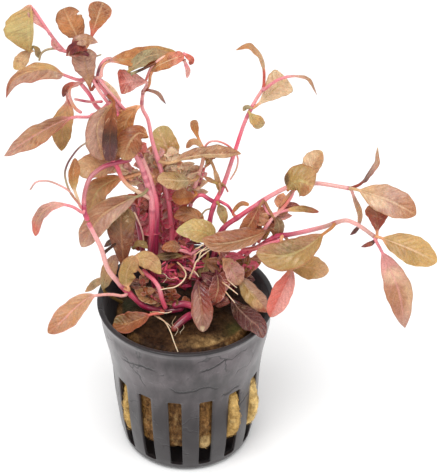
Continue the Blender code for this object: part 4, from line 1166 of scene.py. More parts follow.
def sweep_tree():
    """Build the tree that gives routes with a thickness their ridged round skin."""
    tree = Grower("Ridged stems", Sides="Int", Ridge="Float", Seed="Float")
    curves = tree.node("GeometryNodeMeshToCurve", {"Mesh": tree["Geometry"]})
    circle = tree.node("GeometryNodeCurvePrimitiveCircle", {"Resolution": tree["Sides"]})
    place = tree.node("GeometryNodeInputPosition")
    circle = tree.node("GeometryNodeStoreNamedAttribute",
                       {"Geometry": circle, "Name": "around", "Value": place}, data_type="FLOAT_VECTOR")
    thickness = tree.stored("thickness")
    skin = tree.node("GeometryNodeCurveToMesh", {"Curve": curves, "Profile Curve": circle, "Scale": thickness,
                                                 "Fill Caps": True})
    # The ridges' noise is drawn out along the stem
    ridged = tree.vector("ADD", tree.stretched(tree.stored("around", "FLOAT_VECTOR"), 1.6, 1.6, 1.6),
                         tree.joined(z=tree.stored("run") * 90.0))
    ridge = tree.noise(ridged, 1.0, 2.0, 0.5, tree["Seed"])
    lump = tree.noise(place, 420.0, 2.0, 0.5, tree["Seed"])
    rise = (ridge * 0.7 + lump * 0.3 - 0.5) * tree["Ridge"] * thickness * 1200.0
    return tree.end(tree.pushed(skin, rise))


def thread(route, foot, top, tones, swellings=(), step=0.8 * MM):
    """Give one route's points with thickness, run, node share and colour at each."""
    length = route_length(route)[-1]
    count = max(int(length / step), 6)
    quarter = np.linspace(0, pi / 2, CAP_ROWS)
    distances = np.concatenate([foot * (1 - np.cos(quarter[:-1])), np.linspace(foot, length - top, count),
                                length - top * (1 - np.cos(quarter[::-1][1:]))])
    points = on_route(route, distances)
    share = distances / length
    node_share = np.zeros(len(share))
    for place in swellings:
        gaps = np.linalg.norm(points - place, axis=1)
        node_share = np.maximum(node_share, np.exp(-(gaps / NODE_REACH) ** 2))
    thickness = (foot + (top - foot) * share) * (1 + NODE_SWELLING * node_share)
    rounding = np.maximum(np.sin(quarter)[:-1], 0.05)
    thickness[:CAP_ROWS - 1] *= rounding
    thickness[1 - CAP_ROWS:] *= rounding[::-1]
    stops = np.linspace(0, 1, len(tones))
    colours = np.array([tone(t)[:3] for t in tones])
    tint = np.stack([np.interp(share, stops, colours[:, k]) for k in range(3)], axis=1)
    return points, thickness, distances, node_share, tint


def make_threads(name, threads, tree, material, slot, sides, ridge, seed, nodes=()):
    """Make one piece out of threads."""
    edges, start = [], 0
    for points, *_ in threads:
        edges += [(start + k, start + k + 1) for k in range(len(points) - 1)]
        start += len(points)
    points, *columns, tint = (np.concatenate([made[k] for made in threads]) for k in range(5))
    piece = new_piece(name, points, [], edges)
    for label, values in zip(("thickness", "run", "node_share"), columns):
        store(piece.data, label, values)
    store(piece.data, "tint", tint, "FLOAT_VECTOR")
    grow(piece, tree, Sides=sides, Ridge=ridge, Seed=seed, Material=material)
    face_outwards(piece.data)
    hand_over(piece, slot, *nodes)


def stem_finish(name, gloss=0.32, node_tone="magenta", streak=0.35):
    """Make the finish of stems, twigs and roots, whose colour is kept at their points."""
    finish = Finish(name, Specular_IOR_Level=0.5, Subsurface_Weight=0.22, Subsurface_Scale=0.0014,
                    Subsurface_Radius=(1.0, 0.3, 0.25), Coat_Roughness=0.22)
    around = finish.stretched(finish.attribute("around", "Vector"), 2.6, 2.6, 2.6)
    lengthwise = finish.vector("ADD", around, finish.joined(z=finish.attribute("run") * 130.0))
    streaks = finish.noise(lengthwise, 1.0, 3.0, 0.6)
    cloud = finish.noise(finish.where, 260)
    grain = finish.noise(finish.where, 3000)
    finish.colour = finish.attribute("tint", "Color")
    # Pale blush streaks along stems, twigs and roots are painted highlights; the dark streaks and nodes take
    # the node tone.
    finish.paint(streaks.step(0.45, 0.75) * streak, "blush")
    finish.paint((1 - streaks.step(0.28, 0.46)) * streak, node_tone)
    knot = finish.attribute("node_share")
    finish.paint((knot + (cloud - 0.5) * 0.5).step(0.45, 1.0) * 0.6, node_tone)
    finish.temper(grain.step(0.3, 0.7), (0.80, 0.77, 0.77), (1.0, 1.0, 1.0))
    return finish.close((streaks * 0.5 + grain * 0.2 + cloud * 0.3, 0.12 * MM, 0.7),
                        Roughness=gloss + (cloud - 0.5) * 0.2 + (streaks - 0.5) * 0.1,
                        Coat_Weight=0.25 + cloud * 0.35)


# ---- pot

# Heights of the wall's rings between slots and lip, in millimetres
NECK_HEIGHTS = (33, 35, 37, 39.5, 42, 44.5, 47, 49.2, 51.2)
# The lip's section from the outer wall over the top to the inner wall, as millimetres (inwards from its
# outer radius, down from the top)
LIP_SECTION = ((0.46, 1.9), (0.26, 1.35), (0.1, 0.85), (0, 0.45), (0.06, 0.2), (0.24, 0.05), (0.48, 0),
               (1.0, 0.02), (1.35, 0.12), (1.62, 0.4), (1.85, 1.0))
# The recess under the pot, as (radius, height) in millimetres
RECESS = ((17, 0), (15.6, 0.25), (9, 0.25), (3, 0.25), (2.6, 0.12), (0, 0.12))
# Shares of the way from a slot's edge to its field's edge where rows of points stand
FIELD_SHARES = (0.07, 0.33, 0.66, 1.0)


def wall_radius(height):
    """Give the outer wall's radius at heights in metres."""
    return np.interp(np.asarray(height) / MM, WALL_PROFILE[:, 1], WALL_PROFILE[:, 0]) * MM


def slot_loops(pot):
    """Give the slot's outline and the matching outline of its field, as (angle, height)."""
    field = pi / pot.slots
    half = field * pot.slot_share
    corner_angle = pot.slot_corner / wall_radius(18 * MM)
    flat = half - corner_angle
    low, high = pot.corner, pot.slot_top + 1.5 * MM
    middle = (pot.slot_bottom + pot.slot_top) / 2
    quarters = []
    for end, field_end, way in ((pot.slot_bottom, low, 1), (pot.slot_top, high, -1)):
        side_end = end + way * pot.slot_corner
        quarter = [((x, end), (x, field_end)) for x in (0.0, flat / 2)]
        for step in range(5):
            angle = radians(22.5 * step)
            level, upright = min(step, 2) / 2, max(step - 2, 0) / 2
            inner = (flat + corner_angle * sin(angle), side_end - way * pot.slot_corner * cos(angle))
            outer = (flat + (field - flat) * level, field_end + (side_end - field_end) * upright)
            quarter.append((inner, outer))
        quarters.append(quarter + [((half, z), (field, z)) for z in np.linspace(side_end, middle, 7)[1:]])
    right = np.array(quarters[0] + quarters[1][-2::-1])
    left = right[-2:0:-1] * (-1, 1)
    loops = np.concatenate([right, left])
    return loops[:, 0], loops[:, 1], high


def pot_field(pot):
    """Give the points and faces of one field of the pot, with its slot."""
    inner, outer, high = slot_loops(pot)
    points, faces = [], []

    def add_rows(rows, closed):
        """Join rows of (angle, radius, height) with faces."""
        faces.extend(quads(len(rows), len(rows[0]), len(points), closed))
        points.extend((radius * cos(angle), radius * sin(angle), height)
                      for row in rows for angle, radius, height in row)

    def loop(share, inset):
        """Give the loop between the slot (0) and its field's edge (1), moved in from the outer wall."""
        places = inner + (outer - inner) * share
        return [(angle, float(wall_radius(height)) - inset, height) for angle, height in places]

    rows = [loop(share, 0.0) for share in FIELD_SHARES[::-1]]
    rows += [loop(0.0, pot.edge), loop(0.0, pot.wall - pot.edge)]
    rows += [loop(share, pot.wall) for share in FIELD_SHARES]
    add_rows(rows, True)

    angles = sorted({round(a, 9) for a, z in outer if abs(z - high) < 1e-9})

    def add_section(section):
        """Turn a section of (radius, height) through one field."""
        add_rows([[(angle, radius, height) for angle in angles] for radius, height in section], False)

    heights = np.array(NECK_HEIGHTS) * MM
    section = [(float(wall_radius(z)), z) for z in heights]
    section += [(pot.lip_radius - back * MM, pot.height - drop * MM) for back, drop in LIP_SECTION]
    section += [(float(wall_radius(z)) - pot.wall, z) for z in heights[::-1]]
    add_section(section)

    turns = np.radians(np.linspace(90, 0, 7))
    bottom = [(pot.base_radius + pot.corner * sin(a), pot.corner * (1 - cos(a))) for a in turns]
    add_section(bottom + [(radius * MM, height * MM) for radius, height in RECESS])
    wall_foot = pot.base_radius + pot.corner - pot.wall
    add_section([(wall_foot, pot.corner), (wall_foot - 0.25 * MM, pot.corner - 0.45 * MM),
                 (wall_foot - 0.8 * MM, pot.floor + 0.2 * MM), (pot.base_radius - 0.2 * MM, pot.floor),
                 (12 * MM, pot.floor), (5 * MM, pot.floor), (0.0, pot.floor)])
    return points, faces


def ring_tree():
    """Build the tree that sets copies of one field round the pot's axis."""
    tree = Grower("Ring of fields", Count="Int", Turn="Float")
    spots = tree.node("GeometryNodePoints", {"Count": tree["Count"]})
    angle = tree["Turn"] + tree.node("GeometryNodeInputIndex") * FULL_TURN / tree["Count"]
    turned = tree.node("FunctionNodeEulerToRotation", {0: tree.joined(z=angle)})
    placed = tree.node("GeometryNodeInstanceOnPoints",
                       {"Points": spots, "Instance": tree["Geometry"], "Rotation": turned})
    real = tree.node("GeometryNodeRealizeInstances", {0: placed})
    return tree.end(tree.node("GeometryNodeMergeByDistance", {"Geometry": real, "Distance": 0.01 * MM}))


# Cracks in the plastic, as (angle from the front and half length in radians, height and swing in mm,
# waves)
CRACKS = ((0.35, 0.2, 47.2, 1.2, 9), (0.12, 0.34, 37.6, 0.9, 13), (0.9, 0.12, 26, 0.6, 20),
          (-0.58, 0.28, 45, 0.8, 8), (0.62, 0.16, 33, 0.7, 16), (2.6, 0.4, 40, 1.0, 9),
          (-2.2, 0.3, 35, 1.2, 11))
SCRATCH_SHADE = (0.006, 0.005, 0.006, 1)
CRACK_SHADE = (0.008, 0.006, 0.007, 1)
LIP_SHADE = (0.012, 0.010, 0.011, 1)
DROP_SHADE = (0.12, 0.11, 0.12, 1)


def plastic_finish():
    """Make the worn black plastic of the pot, with scuffs, scratches and dried water."""
    finish = Finish("Black plastic", tone("plastic"), Specular_IOR_Level=0.34, Coat_Roughness=0.2,
                    Sheen_Weight=0.15, Sheen_Roughness=0.45)
    where = finish.where
    cloud = finish.noise(where, 75, 4.0, 0.62, 2.0)
    smear = finish.noise(finish.stretched(where, 1.0, 1.0, 0.45), 240, 4.0, 0.6, 5.0)
    grain = finish.noise(where, 2600, 3.0, 0.6, 1.0)
    warp = finish.node("ShaderNodeTexNoise", {"Vector": where, "Scale": 130.0, "Detail": 2.0}, out="Color")
    wavy = finish.vector("ADD", where, finish.stretched(warp, 0.012, 0.012, 0.012))
    scratch = (1 - finish.cells(wavy, 62.0).step(0.0, 0.035)) * (cloud + (smear - 0.5) * 0.6).step(0.50, 0.62)
    fine_cells = finish.cells(finish.stretched(wavy, 1.0, 1.0, 0.35), 240.0)
    fine = (1 - fine_cells.step(0.0, 0.05)) * smear.step(0.48, 0.66)
    drop = (1 - finish.cells(where, 330.0, "F1").step(0.10, 0.17)) * cloud.step(0.48, 0.6)
    finish.paint(cloud.step(0.35, 0.7) * 0.45 + smear.step(0.35, 0.7) * 0.35, "plastic_worn")
    finish.paint(scratch * 0.8 + fine * 0.25, SCRATCH_SHADE)
    finish.paint(drop * 0.35, DROP_SHADE)
    x, y, z = finish.parts(where)
    turn = x.maths("ARCTAN2", x, 0.0 - y)
    cracks = 0.0
    for at, half, height, swing, waves in CRACKS:
        line = height * MM + x.maths("SINE", (turn - at) * waves) * (swing * MM) + (smear - 0.5) * (4 * MM)
        crack = 1 - abs(z - line).step(0.2 * MM, 0.6 * MM)
        cracks = crack * (1 - abs(turn - at).step(half * 0.6, half)) + cracks
    cracked = cracks.limited()
    finish.paint(cracked * 0.9, CRACK_SHADE)
    low = 1 - z.step(22 * MM, 37 * MM)
    finish.paint(low, "plastic")
    lip_line = z.step(53.0 * MM, 53.6 * MM)
    finish.paint(lip_line * 0.85, LIP_SHADE)
    coat = 0.04 + smear.step(0.4, 0.7) * 0.3 + (1 - low) * 0.18
    height = (grain * 0.10 + smear * 0.35 + cloud * 0.5 - scratch * 0.8 - fine * 0.3 + drop * 0.35
              - cracks * 1.2)
    return finish.close((height, 0.2 * MM, 0.7),
                        Roughness=0.24 + cloud * 0.14 + smear * 0.10 + scratch * 0.2,
                        Coat_Weight=coat * (1 - cracked) * (1 - lip_line * 0.8))


# ---- mineral wool

# Wool that stands out of slots, as (slot number from the front, outward push, height and half height in
# mm, paleness). The paleness is painted light on the bulge.
WOOL_BULGES = ((2, 3.8, 21, 9.5, 0.75), (3, 3.6, 20, 10.5, 1.5), (-2, 2.0, 18, 11, 0.8),
               (1, 1.5, 12, 3.5, 0.8), (1, 0.9, 24, 6, 0), (6, 1.4, 17, 8, 0.6), (8, 1.9, 22, 7, 0.8),
               (-5, 1.2, 14, 7, 0.6))
# Dampness of the wool behind the slots at the front, by slot number; the slots past them take the last
SLOT_DAMP = ((-3, 0.3), (-2, 0.12), (-1, 0.58), (0, 0.68), (1, 0.56), (2, 0.2), (3, 0.0), (4, 0.3))
# Mounds and hollows on top of the plug, as (height, x, y in mm, spread in square mm)
MOUNDS = ((1.3, 2, -17, 40), (-1.4, -10, -12, 30), (1.5, -15, -4, 20), (0.8, 0, 4, 60))
# Gap between wall and wool; the height from which the plug keeps its own radius; and how far in and
# from how near its upper and lower edge the side is rounded
WALL_GAP = 0.5 * MM
FREE_HEIGHT = 22 * MM
EDGE_DEPTH = 1.3 * MM
EDGE_REACH = 1.6 * MM
# Rings up the plug's side and over its top, and points round it
WOOL_ROWS = 110
CROWN_ROWS = 26
WOOL_COLUMNS = 300


def hump(x, y, middle_x, middle_y, spread):
    """Give a round hump that is 1 at its middle."""
    return np.exp(-((x - middle_x) ** 2 + (y - middle_y) ** 2) / spread)


def wool_skin(wool, pot):
    """Give the wool plug's points, faces, and how pale, wet and green each point is. Paleness on the bulges
    out of the slots is painted light.
    """
    angles = np.linspace(0, FULL_TURN, WOOL_COLUMNS, endpoint=False)
    pitch = FULL_TURN / pot.slots
    rows, pale, wet, green = [], [], [], []
    for height in np.linspace(wool.bottom, wool.top, WOOL_ROWS):
        wall = float(wall_radius(height)) - pot.wall - WALL_GAP
        radius = np.full(WOOL_COLUMNS, min(wall, wool.radius) if height > FREE_HEIGHT else wall)
        near_end = min(height - wool.bottom, wool.top - height)
        radius -= EDGE_DEPTH * max(1 - near_end / EDGE_REACH, 0) ** 2
        light = np.zeros(WOOL_COLUMNS)
        for slot, push, middle, reach, paleness in WOOL_BULGES:
            turn = (angles - SLOT_TURN - slot * pitch + pi) % FULL_TURN - pi
            across = np.clip(1 - (turn / (0.215 * pitch)) ** 2, 0, 1) ** 0.45
            up = max(1 - ((height / MM - middle) / reach) ** 2, 0) ** 0.6
            radius += push * MM * across * up
            light = np.maximum(light, np.exp(-(turn / (0.3 * pitch)) ** 2) * paleness * min(up * 2, 1))
        rows.append((radius, np.full(WOOL_COLUMNS, height)))
        pale.append(light)
        place = (angles - SLOT_TURN + pi) % FULL_TURN / pitch - pot.slots / 2
        damp = np.interp(place, *zip(*SLOT_DAMP))
        wet.append(np.clip(damp + 0.5 * soft_step((height / MM - 33) / 12), 0, 1))
        green.append(np.zeros(WOOL_COLUMNS))
    for step in range(1, CROWN_ROWS):
        radius = rows[WOOL_ROWS - 1][0] * (1 - step / CROWN_ROWS)
        x, y = radius * np.cos(angles) / MM, radius * np.sin(angles) / MM
        mound = sum(height * hump(x, y, *shape) for height, *shape in MOUNDS)
        rows.append((radius, wool.top + mound * MM * min(step / 4, 1)))
        dry = np.exp(-((x - 11) / 8) ** 2 - ((y + 18) / 3.2) ** 2)
        pale.append(dry * 0.5)
        wet.append(1 - 0.6 * dry)
        green.append(np.clip(0.6 * hump(x, y, 17, -11, 16) - hump(x, y, -18, 1, 30), -1, 1))
    points = [(r * cos(a), r * sin(a), z)
              for radius, level in rows for a, r, z in zip(angles, radius, level)]
    points += [(0, 0, wool.top + 0.8 * MM), (0, 0, wool.bottom)]
    faces = quads(len(rows), WOOL_COLUMNS)
    last = (len(rows) - 1) * WOOL_COLUMNS
    for spot in range(WOOL_COLUMNS):
        after = (spot + 1) % WOOL_COLUMNS
        faces.append((last + spot, last + after, len(points) - 2))
        faces.append((after, spot, len(points) - 1))
    # Each mark's values on the rows come first, then those of the two middle points
    marks = {"paleness": (*pale, (0, 0)), "wetness": (*wet, (1, 0.9)), "greenness": (*green, (0, 0))}
    return points, faces, {name: np.concatenate(values) for name, values in marks.items()}


def wool_tree():
    """Build the tree that roughens the plug with lumps and tufts."""
    tree = Grower("Lumpy wool", Relief="Float", Grain="Float", Seed="Float")
    place = tree.node("GeometryNodeInputPosition")
    lumps = tree.noise(place, 190.0, 3.0, 0.6, tree["Seed"])
    tufts = tree.noise(tree.stretched(place, 1.0, 1.0, 0.55), 900.0, 4.0, 0.7, tree["Seed"])
    rise = (lumps - 0.5) * tree["Relief"] + (tufts - 0.5) * tree["Grain"]
    return tree.end(tree.pushed(tree["Geometry"], rise))


def fibre_tree():
    """Build the tree that scatters bent fibres over the wool."""
    tree = Grower("Loose fibres", Density="Float", Length="Float", Radius="Float", Seed="Int")
    half = tree["Length"] * 0.5
    arc = tree.node("GeometryNodeCurveQuadraticBezier", {
        "Resolution": 5, "Start": tree.joined(0.0 - half),
        "Middle": tree.joined(0.0, half * 0.9, half * 0.35), "End": tree.joined(half, 0.0, half * 0.12)})
    rim = tree.node("GeometryNodeCurvePrimitiveCircle", {"Resolution": 3, "Radius": tree["Radius"]})
    fibre = tree.node("GeometryNodeCurveToMesh", {"Curve": arc, "Profile Curve": rim, "Fill Caps": True})
    spots = tree.node("GeometryNodeDistributePointsOnFaces",
                      {"Mesh": tree["Geometry"], "Density": tree["Density"], "Seed": tree["Seed"]})
    spin = tree.node("FunctionNodeRandomValue", {2: 0.0, 3: FULL_TURN, "Seed": tree["Seed"]}, out=1)
    tilt = tree.node("FunctionNodeRandomValue", {2: -0.45, 3: 0.45, "Seed": 5}, out=1)
    own_turn = tree.node("FunctionNodeEulerToRotation", {0: tree.joined(x=tilt, z=spin)})
    turned = tree.node("FunctionNodeRotateRotation", {0: spots.other("Rotation"), 1: own_turn},
                       rotation_space="LOCAL")
    size = tree.node("FunctionNodeRandomValue", {0: (0.45, 0.3, 0.4), 1: (1.25, 1.3, 1.3), "Seed": 9},
                     data_type="FLOAT_VECTOR")
    return tree.end(tree.node("GeometryNodeInstanceOnPoints", {"Points": spots, "Instance": fibre,
                                                               "Rotation": turned, "Scale": size}))


def wool_finish(name, lift):
    """Make the golden wool with its wet and greenish places, painted shade in its pits and painted light
    where it stands out of the slots. Lift makes the grain paler.
    """
    finish = Finish(name, tone("wool"), Specular_IOR_Level=0.15)
    where = finish.where
    pale = finish.attribute("paleness")
    wet = finish.attribute("wetness")
    cloud = finish.noise(where, 130, 4.0, 0.65, 4.0)
    tufts = finish.noise(finish.stretched(where, 1.0, 1.0, 0.5), 900, 5.0, 0.72, 1.0)
    grain = finish.noise(where, 4200, 3.0, 0.6, 2.0)
    damp = wet * 2 + (cloud - 0.5) * 0.9 - 0.1
    finish.paint(damp.limited(), "wool_damp")
    finish.paint((damp - 1).limited(), "wool_wet")
    # Painted shade in the pits between the tufts.
    finish.paint((1 - (tufts + pale * 0.08).step(0.34, 0.52)) * 0.75, "wool_dark")
    # Paler where the paleness mark is high, which on the bulges out of the slots is painted light, and in
    # tufts where the wool is drier.
    finish.paint((pale * 0.7 + (tufts - 0.5) * (1.2 - wet)).limited() * 0.7, "wool_pale")
    clumps = finish.noise(where, 430, 3.0, 0.65, 8.0)
    finish.temper(clumps.step(0.32, 0.66), (0.55, 0.50, 0.46), (1.25, 1.25, 1.25))
    finish.paint((tufts * 0.6 + cloud * 0.4).step(0.52, 0.68) * (1 - wet) * 0.7, "wool_pale")
    green = finish.attribute("greenness")
    finish.paint((green + (cloud - 0.5) * green).limited() * 0.8, "algae")
    finish.paint((0.0 - green + (0.5 - cloud) * green).limited() * 0.8, "moss_film")
    finish.temper(grain.step(0.3, 0.7), (0.72 + lift, 0.70 + lift, 0.66 + lift),
                  (1.2 + lift, 1.18 + lift, 1.12 + lift))
    return finish.close((tufts * 0.7 + grain * 0.3, 0.6 * MM, 1.0),
                        Roughness=(0.95 - wet * 0.4 + (tufts - 0.5) * 0.2).limited())


# ---- operators

SHAPE_KEYS = ("curl", "wave", "notches", "bend", "anchor")
# Leaves nearer to a stem than this make it swell to a node
NODE_SEARCH = 5 * MM
# Stems whose foot is lower in the picture than this go down into the wool, but for the one that lies on it
ROOTED_BELOW = 280
LYING_STEM = "stem_left_outer"
# The first seed of the young leaves, past those of the other leaves
YOUNG_SEED = 60


@functools.cache
def stem_routes():
    """Give the smooth route of each stem."""
    return {name: route_of(places) for name, places, *_ in rows(STEMS)}


def build_leaf(order, name, places, numbers, slot, tones, look, solid=None):
    """Make one leaf with its finish from its row of a table."""
    colours = look_of(look)
    shape = {key: colours.pop(key) for key in SHAPE_KEYS if key in colours}
    points = [sight(place) for place in lists(places)]
    if "anchor" in shape:
        shape["anchor"] = np.array(shape["anchor"]) * MM
    else:
        shape["anchor"] = stem_anchor(points[0], group("plant_sizes").reach, stem_routes())
    left, right, stalk, lean, fold, *outline = words(numbers)
    made = leaf_points(points, left, right, stalk, lean, fold, outline or PLAIN_OUTLINE, 100 + order,
                       rows=BLADE_ROWS if solid else YOUNG_ROWS, **shape)
    finish = leaf_finish(name + " blade", tones.split(), seed=float(order), **colours)
    make_blades(name, [(*made, tone(tones.split()[1])[:3])], finish, slot, [solid] if solid else [])


class PLANT_OT_pot(bpy.types.Operator):
    """Make the slotted pot in the place of its solid"""
    bl_idname = "plant.make_pot"
    bl_label = "Pot"

    def execute(self, context):
        pot = group("plant_pot")
        piece = new_piece("net_pot_moulding", *pot_field(pot))
        grow(piece, ring_tree(), Count=pot.slots, Turn=SLOT_TURN, Material=plastic_finish())
        face_outwards(piece.data, merge=0.004 * MM)
        piece.data.shade_smooth()
        piece.data.set_sharp_from_angle(angle=radians(42))
        hand_over(piece, "black_plastic", "net_pot")
        return {"FINISHED"}


class PLANT_OT_wool(bpy.types.Operator):
    """Make the mineral wool plug and its loose fibres"""
    bl_idname = "plant.make_wool"
    bl_label = "Mineral wool"

    def execute(self, context):
        wool = group("plant_wool")
        points, faces, marks = wool_skin(wool, group("plant_pot"))
        piece = new_piece("rockwool_plug", points, faces)
        for label, values in marks.items():
            store(piece.data, label, values)
        face_outwards(piece.data)
        grow(piece, wool_tree(), Relief=wool.relief, Grain=wool.grain, Seed=3.0,
             Material=wool_finish("Mineral wool", 0.0))
        fibres = add_object("rockwool_fibres", piece.data.copy())
        grow(fibres, fibre_tree(), Density=wool.fibre_density, Length=wool.fibre_length,
             Radius=wool.fibre_radius, Seed=4, Material=wool_finish("Wool fibres", 0.15))
        hand_over(piece, "mineral_wool", "rockwool")
        hand_over(fibres, "mineral_wool")
        return {"FINISHED"}


class PLANT_OT_stems(bpy.types.Operator):
    """Make the nine stems, with swollen nodes where leaves grow"""
    bl_idname = "plant.make_stems"
    bl_label = "Stems"

    def execute(self, context):
        tree, finish = sweep_tree(), stem_finish("Stem skin")
        sizes = group("plant_sizes")
        bases = [sight(lists(row[1])[0]) for row in rows(LEAVES) + rows(YOUNG_LEAVES)]
        for order, (name, places, radii, slot, tones, bare_nodes) in enumerate(rows(STEMS)):
            route = stem_routes()[name]
            nodes = []
            for base in bases:
                gaps = np.linalg.norm(route - base, axis=1)
                if gaps.min() < NODE_SEARCH:
                    nodes.append(route[gaps.argmin()])
            nodes += [on_route(route, np.array([share * route_length(route)[-1]]))[0]
                      for share in words(bare_nodes)]
            if lists(places)[0][1] > ROOTED_BELOW and name != LYING_STEM:
                root = route[0] - np.array([0, 0, 3 * MM])
                route = np.vstack([root + (route[0] - root) * k / 6 for k in range(6)] + [route])
            foot, top = (radius * sizes.slimness * MM for radius in words(radii))
            make_threads(name + "_shoot", [thread(route, foot, top, tones.split(), nodes)], tree, finish,
                         slot, 16, sizes.stem_ridge, float(order), (name,))
        return {"FINISHED"}


class PLANT_OT_twigs(bpy.types.Operator):
    """Make the twigs and the thin stalks"""
    bl_idname = "plant.make_twigs"
    bl_label = "Twigs"

    def execute(self, context):
        tree, finish = sweep_tree(), stem_finish("Twig skin", gloss=0.34)
        for order, (places, radii, tones) in enumerate(rows(TWIGS)):
            foot, top = words(radii)
            line = thread(route_of(places), foot * MM, top * MM, tones.split(), step=0.6 * MM)
            make_threads(f"twig_{order + 1:02d}", [line], tree, finish, "pink_stem", 12, 0.12 * MM,
                         20.0 + order)
        return {"FINISHED"}


class PLANT_OT_crowd(bpy.types.Operator):
    """Make the crowded shoots and small blades in the heart of the plant"""
    bl_idname = "plant.make_crowd"
    bl_label = "Crowded shoots"

    def execute(self, context):
        threads, blades = [], []
        for order, (places, numbers, tones) in enumerate(rows(CROWD)):
            route, tones = route_of(places), tones.split()
            radius, count, length, width = words(numbers)
            threads.append(thread(route, radius * MM, radius * 0.7 * MM,
                                  ["wine", "magenta", "rose", *tones[:2]]))
            blades += crowd_blades(order, route, count, length, width, tones)
        make_threads("crowded_shoots", threads, sweep_tree(), stem_finish("Crowded skin"), "magenta_stem",
                     10, 0.14 * MM, 80.0)
        finish = leaf_finish("Crowded blades", None, patch="redwood", amount=0.2, margin="blush",
                             under="redwood", rib="blush", gloss=0.24)
        make_blades("crowded_blades", blades, finish, "dark_red")
        return {"FINISHED"}


class PLANT_OT_roots(bpy.types.Operator):
    """Make the cream roots on the wool"""
    bl_idname = "plant.make_roots"
    bl_label = "Roots"

    def execute(self, context):
        finish = stem_finish("Root skin", gloss=0.4, node_tone="tan", streak=0.2)
        lines = [thread(route_of(places), float(radius) * MM, float(radius) * 0.6 * MM,
                        ["tan", "cream", "cream"], step=0.5 * MM) for places, radius in rows(ROOTS)]
        make_threads("roots", lines, sweep_tree(), finish, "pale_green", 8, 0.1 * MM, 60.0)
        return {"FINISHED"}


class ShootLeaves:
    """What the operators of all shoots' leaves share."""
    prefixes = ()

    def execute(self, context):
        for order, (name, *cells) in enumerate(rows(LEAVES)):
            if name.startswith(self.prefixes):
                build_leaf(order, name + "_leaf", *cells, name)
        return {"FINISHED"}


class PLANT_OT_left_crown(ShootLeaves, bpy.types.Operator):
    """Make the leaves of the tall left crown"""
    bl_idname = "plant.make_left_crown"
    bl_label = "Left crown leaves"
    prefixes = ("left_crown",)


class PLANT_OT_left_middle(ShootLeaves, bpy.types.Operator):
    """Make the leaves in the middle of the left side"""
    bl_idname = "plant.make_left_middle"
    bl_label = "Middle left leaves"
    prefixes = ("mid_left", "left_node")


class PLANT_OT_left_low(ShootLeaves, bpy.types.Operator):
    """Make the leaves low on the left and in the plant's heart"""
    bl_idname = "plant.make_left_low"
    bl_label = "Low left and heart leaves"
    prefixes = ("low_left", "pot_leaf", "heart")


class PLANT_OT_centre(ShootLeaves, bpy.types.Operator):
    """Make the leaves of the centre and its crown"""
    bl_idname = "plant.make_centre"
    bl_label = "Centre leaves"
    prefixes = ("centre",)


class PLANT_OT_right(ShootLeaves, bpy.types.Operator):
    """Make the leaves of the right side and the rim"""
    bl_idname = "plant.make_right"
    bl_label = "Right leaves"
    prefixes = ("tall_right", "right", "rim")


class PLANT_OT_young(bpy.types.Operator):
    """Make the young leaves and other small blades"""
    bl_idname = "plant.make_young"
    bl_label = "Young leaves"

    def execute(self, context):
        for order, (name, *cells) in enumerate(rows(YOUNG_LEAVES)):
            build_leaf(YOUNG_SEED + order, "young_" + name, *cells)
        return {"FINISHED"}


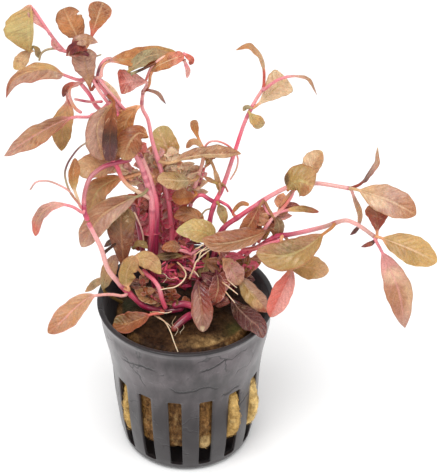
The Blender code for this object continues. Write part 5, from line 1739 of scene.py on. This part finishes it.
class PLANT_OT_stage(bpy.types.Operator):
    """Make the floor, the lights, the surroundings and the camera"""
    bl_idname = "plant.make_stage"
    bl_label = "Stage"

    def execute(self, context):
        stage, scene = group("plant_stage"), context.scene
        half = stage.floor_side / 2
        floor = new_piece("floor", [(-half, -half, 0), (half, -half, 0), (half, half, 0), (-half, half, 0)],
                          [(0, 1, 2, 3)])
        finish = Finish("Floor paper", (*stage.floor_shade, 1), Specular_IOR_Level=0.2)
        grain = finish.noise(finish.where, 900)
        finish.paint(grain * 0.02, (0.6, 0.6, 0.6, 1))
        floor.data.materials.append(finish.close(Roughness=0.8 + grain * 0.1))
        floor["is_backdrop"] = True

        world = bpy.data.worlds.new("White surroundings")
        world.use_nodes = True
        background = world.node_tree.nodes["Background"]
        background.inputs["Color"].default_value = (1, 1, 1, 1)
        background.inputs["Strength"].default_value = stage.sky
        scene.world = world
        for label, place, power in (("key", (-0.14, -0.30, 0.80), stage.key),
                                    ("fill", (0.65, -0.25, 0.45), stage.fill)):
            data = bpy.data.lights.new(label, "AREA")
            data.shape = "SQUARE"
            data.size = LAMP_SIZE
            data.energy = power
            lamp = add_object(label, data)
            lamp.location = place
            lamp.rotation_euler = (LAMP_AIM - lamp.location).to_track_quat("-Z", "Y").to_euler()

        right, up, forward = view_axes()
        lens = bpy.data.cameras.new("camera")
        lens.sensor_fit = "HORIZONTAL"
        lens.sensor_width = SENSOR_WIDTH
        lens.lens = VIEW_SCALE / PICTURE_WIDTH * SENSOR_WIDTH
        lens.clip_start = 0.01
        scene.camera = add_object("camera", lens)
        turn = Matrix((right, up, -forward)).transposed().to_4x4()
        scene.camera.matrix_world = Matrix.Translation(EYE) @ turn
        scene.view_settings.view_transform = "Standard"
        return {"FINISHED"}


MAKERS = (PLANT_OT_pot, PLANT_OT_wool, PLANT_OT_stems, PLANT_OT_left_crown, PLANT_OT_left_middle,
          PLANT_OT_left_low, PLANT_OT_centre, PLANT_OT_right, PLANT_OT_young, PLANT_OT_twigs, PLANT_OT_crowd,
          PLANT_OT_roots, PLANT_OT_stage)


class PLANT_PT_sidebar(bpy.types.Panel):
    """Sizes, colours and pieces of the potted plant"""
    bl_label = "Potted plant"
    bl_idname = "PLANT_PT_sidebar"
    bl_space_type = "VIEW_3D"
    bl_region_type = "UI"
    bl_category = "Plant"

    def draw(self, context):
        for name, kind in GROUPS.items():
            box = self.layout.box()
            box.label(text=kind.__doc__)
            for label in kind.__annotations__:
                box.prop(getattr(context.scene, name), label)
        for maker in MAKERS:
            self.layout.operator(maker.bl_idname, text=maker.bl_label)


CLASSES = (*GROUPS.values(), *MAKERS, PLANT_PT_sidebar)


def register():
    for kind in CLASSES:
        bpy.utils.register_class(kind)
    for name, kind in GROUPS.items():
        setattr(bpy.types.Scene, name, bpy.props.PointerProperty(type=kind))


def unregister():
    for name in GROUPS:
        delattr(bpy.types.Scene, name)
    for kind in reversed(CLASSES):
        bpy.utils.unregister_class(kind)


def plain(box):
    """Turn a box into lists of numbers."""
    return [[float(value) for value in corner] for corner in box]


def main():
    """Build all pieces in order and work out the boxes of the solids and of the shown pieces."""
    register()
    for maker in MAKERS:
        getattr(bpy.ops.plant, maker.bl_idname.split(".")[1])()
    {"cad": plain(CAD_BOX), "visual": plain(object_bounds())}


if __name__ == "__main__":
    main()
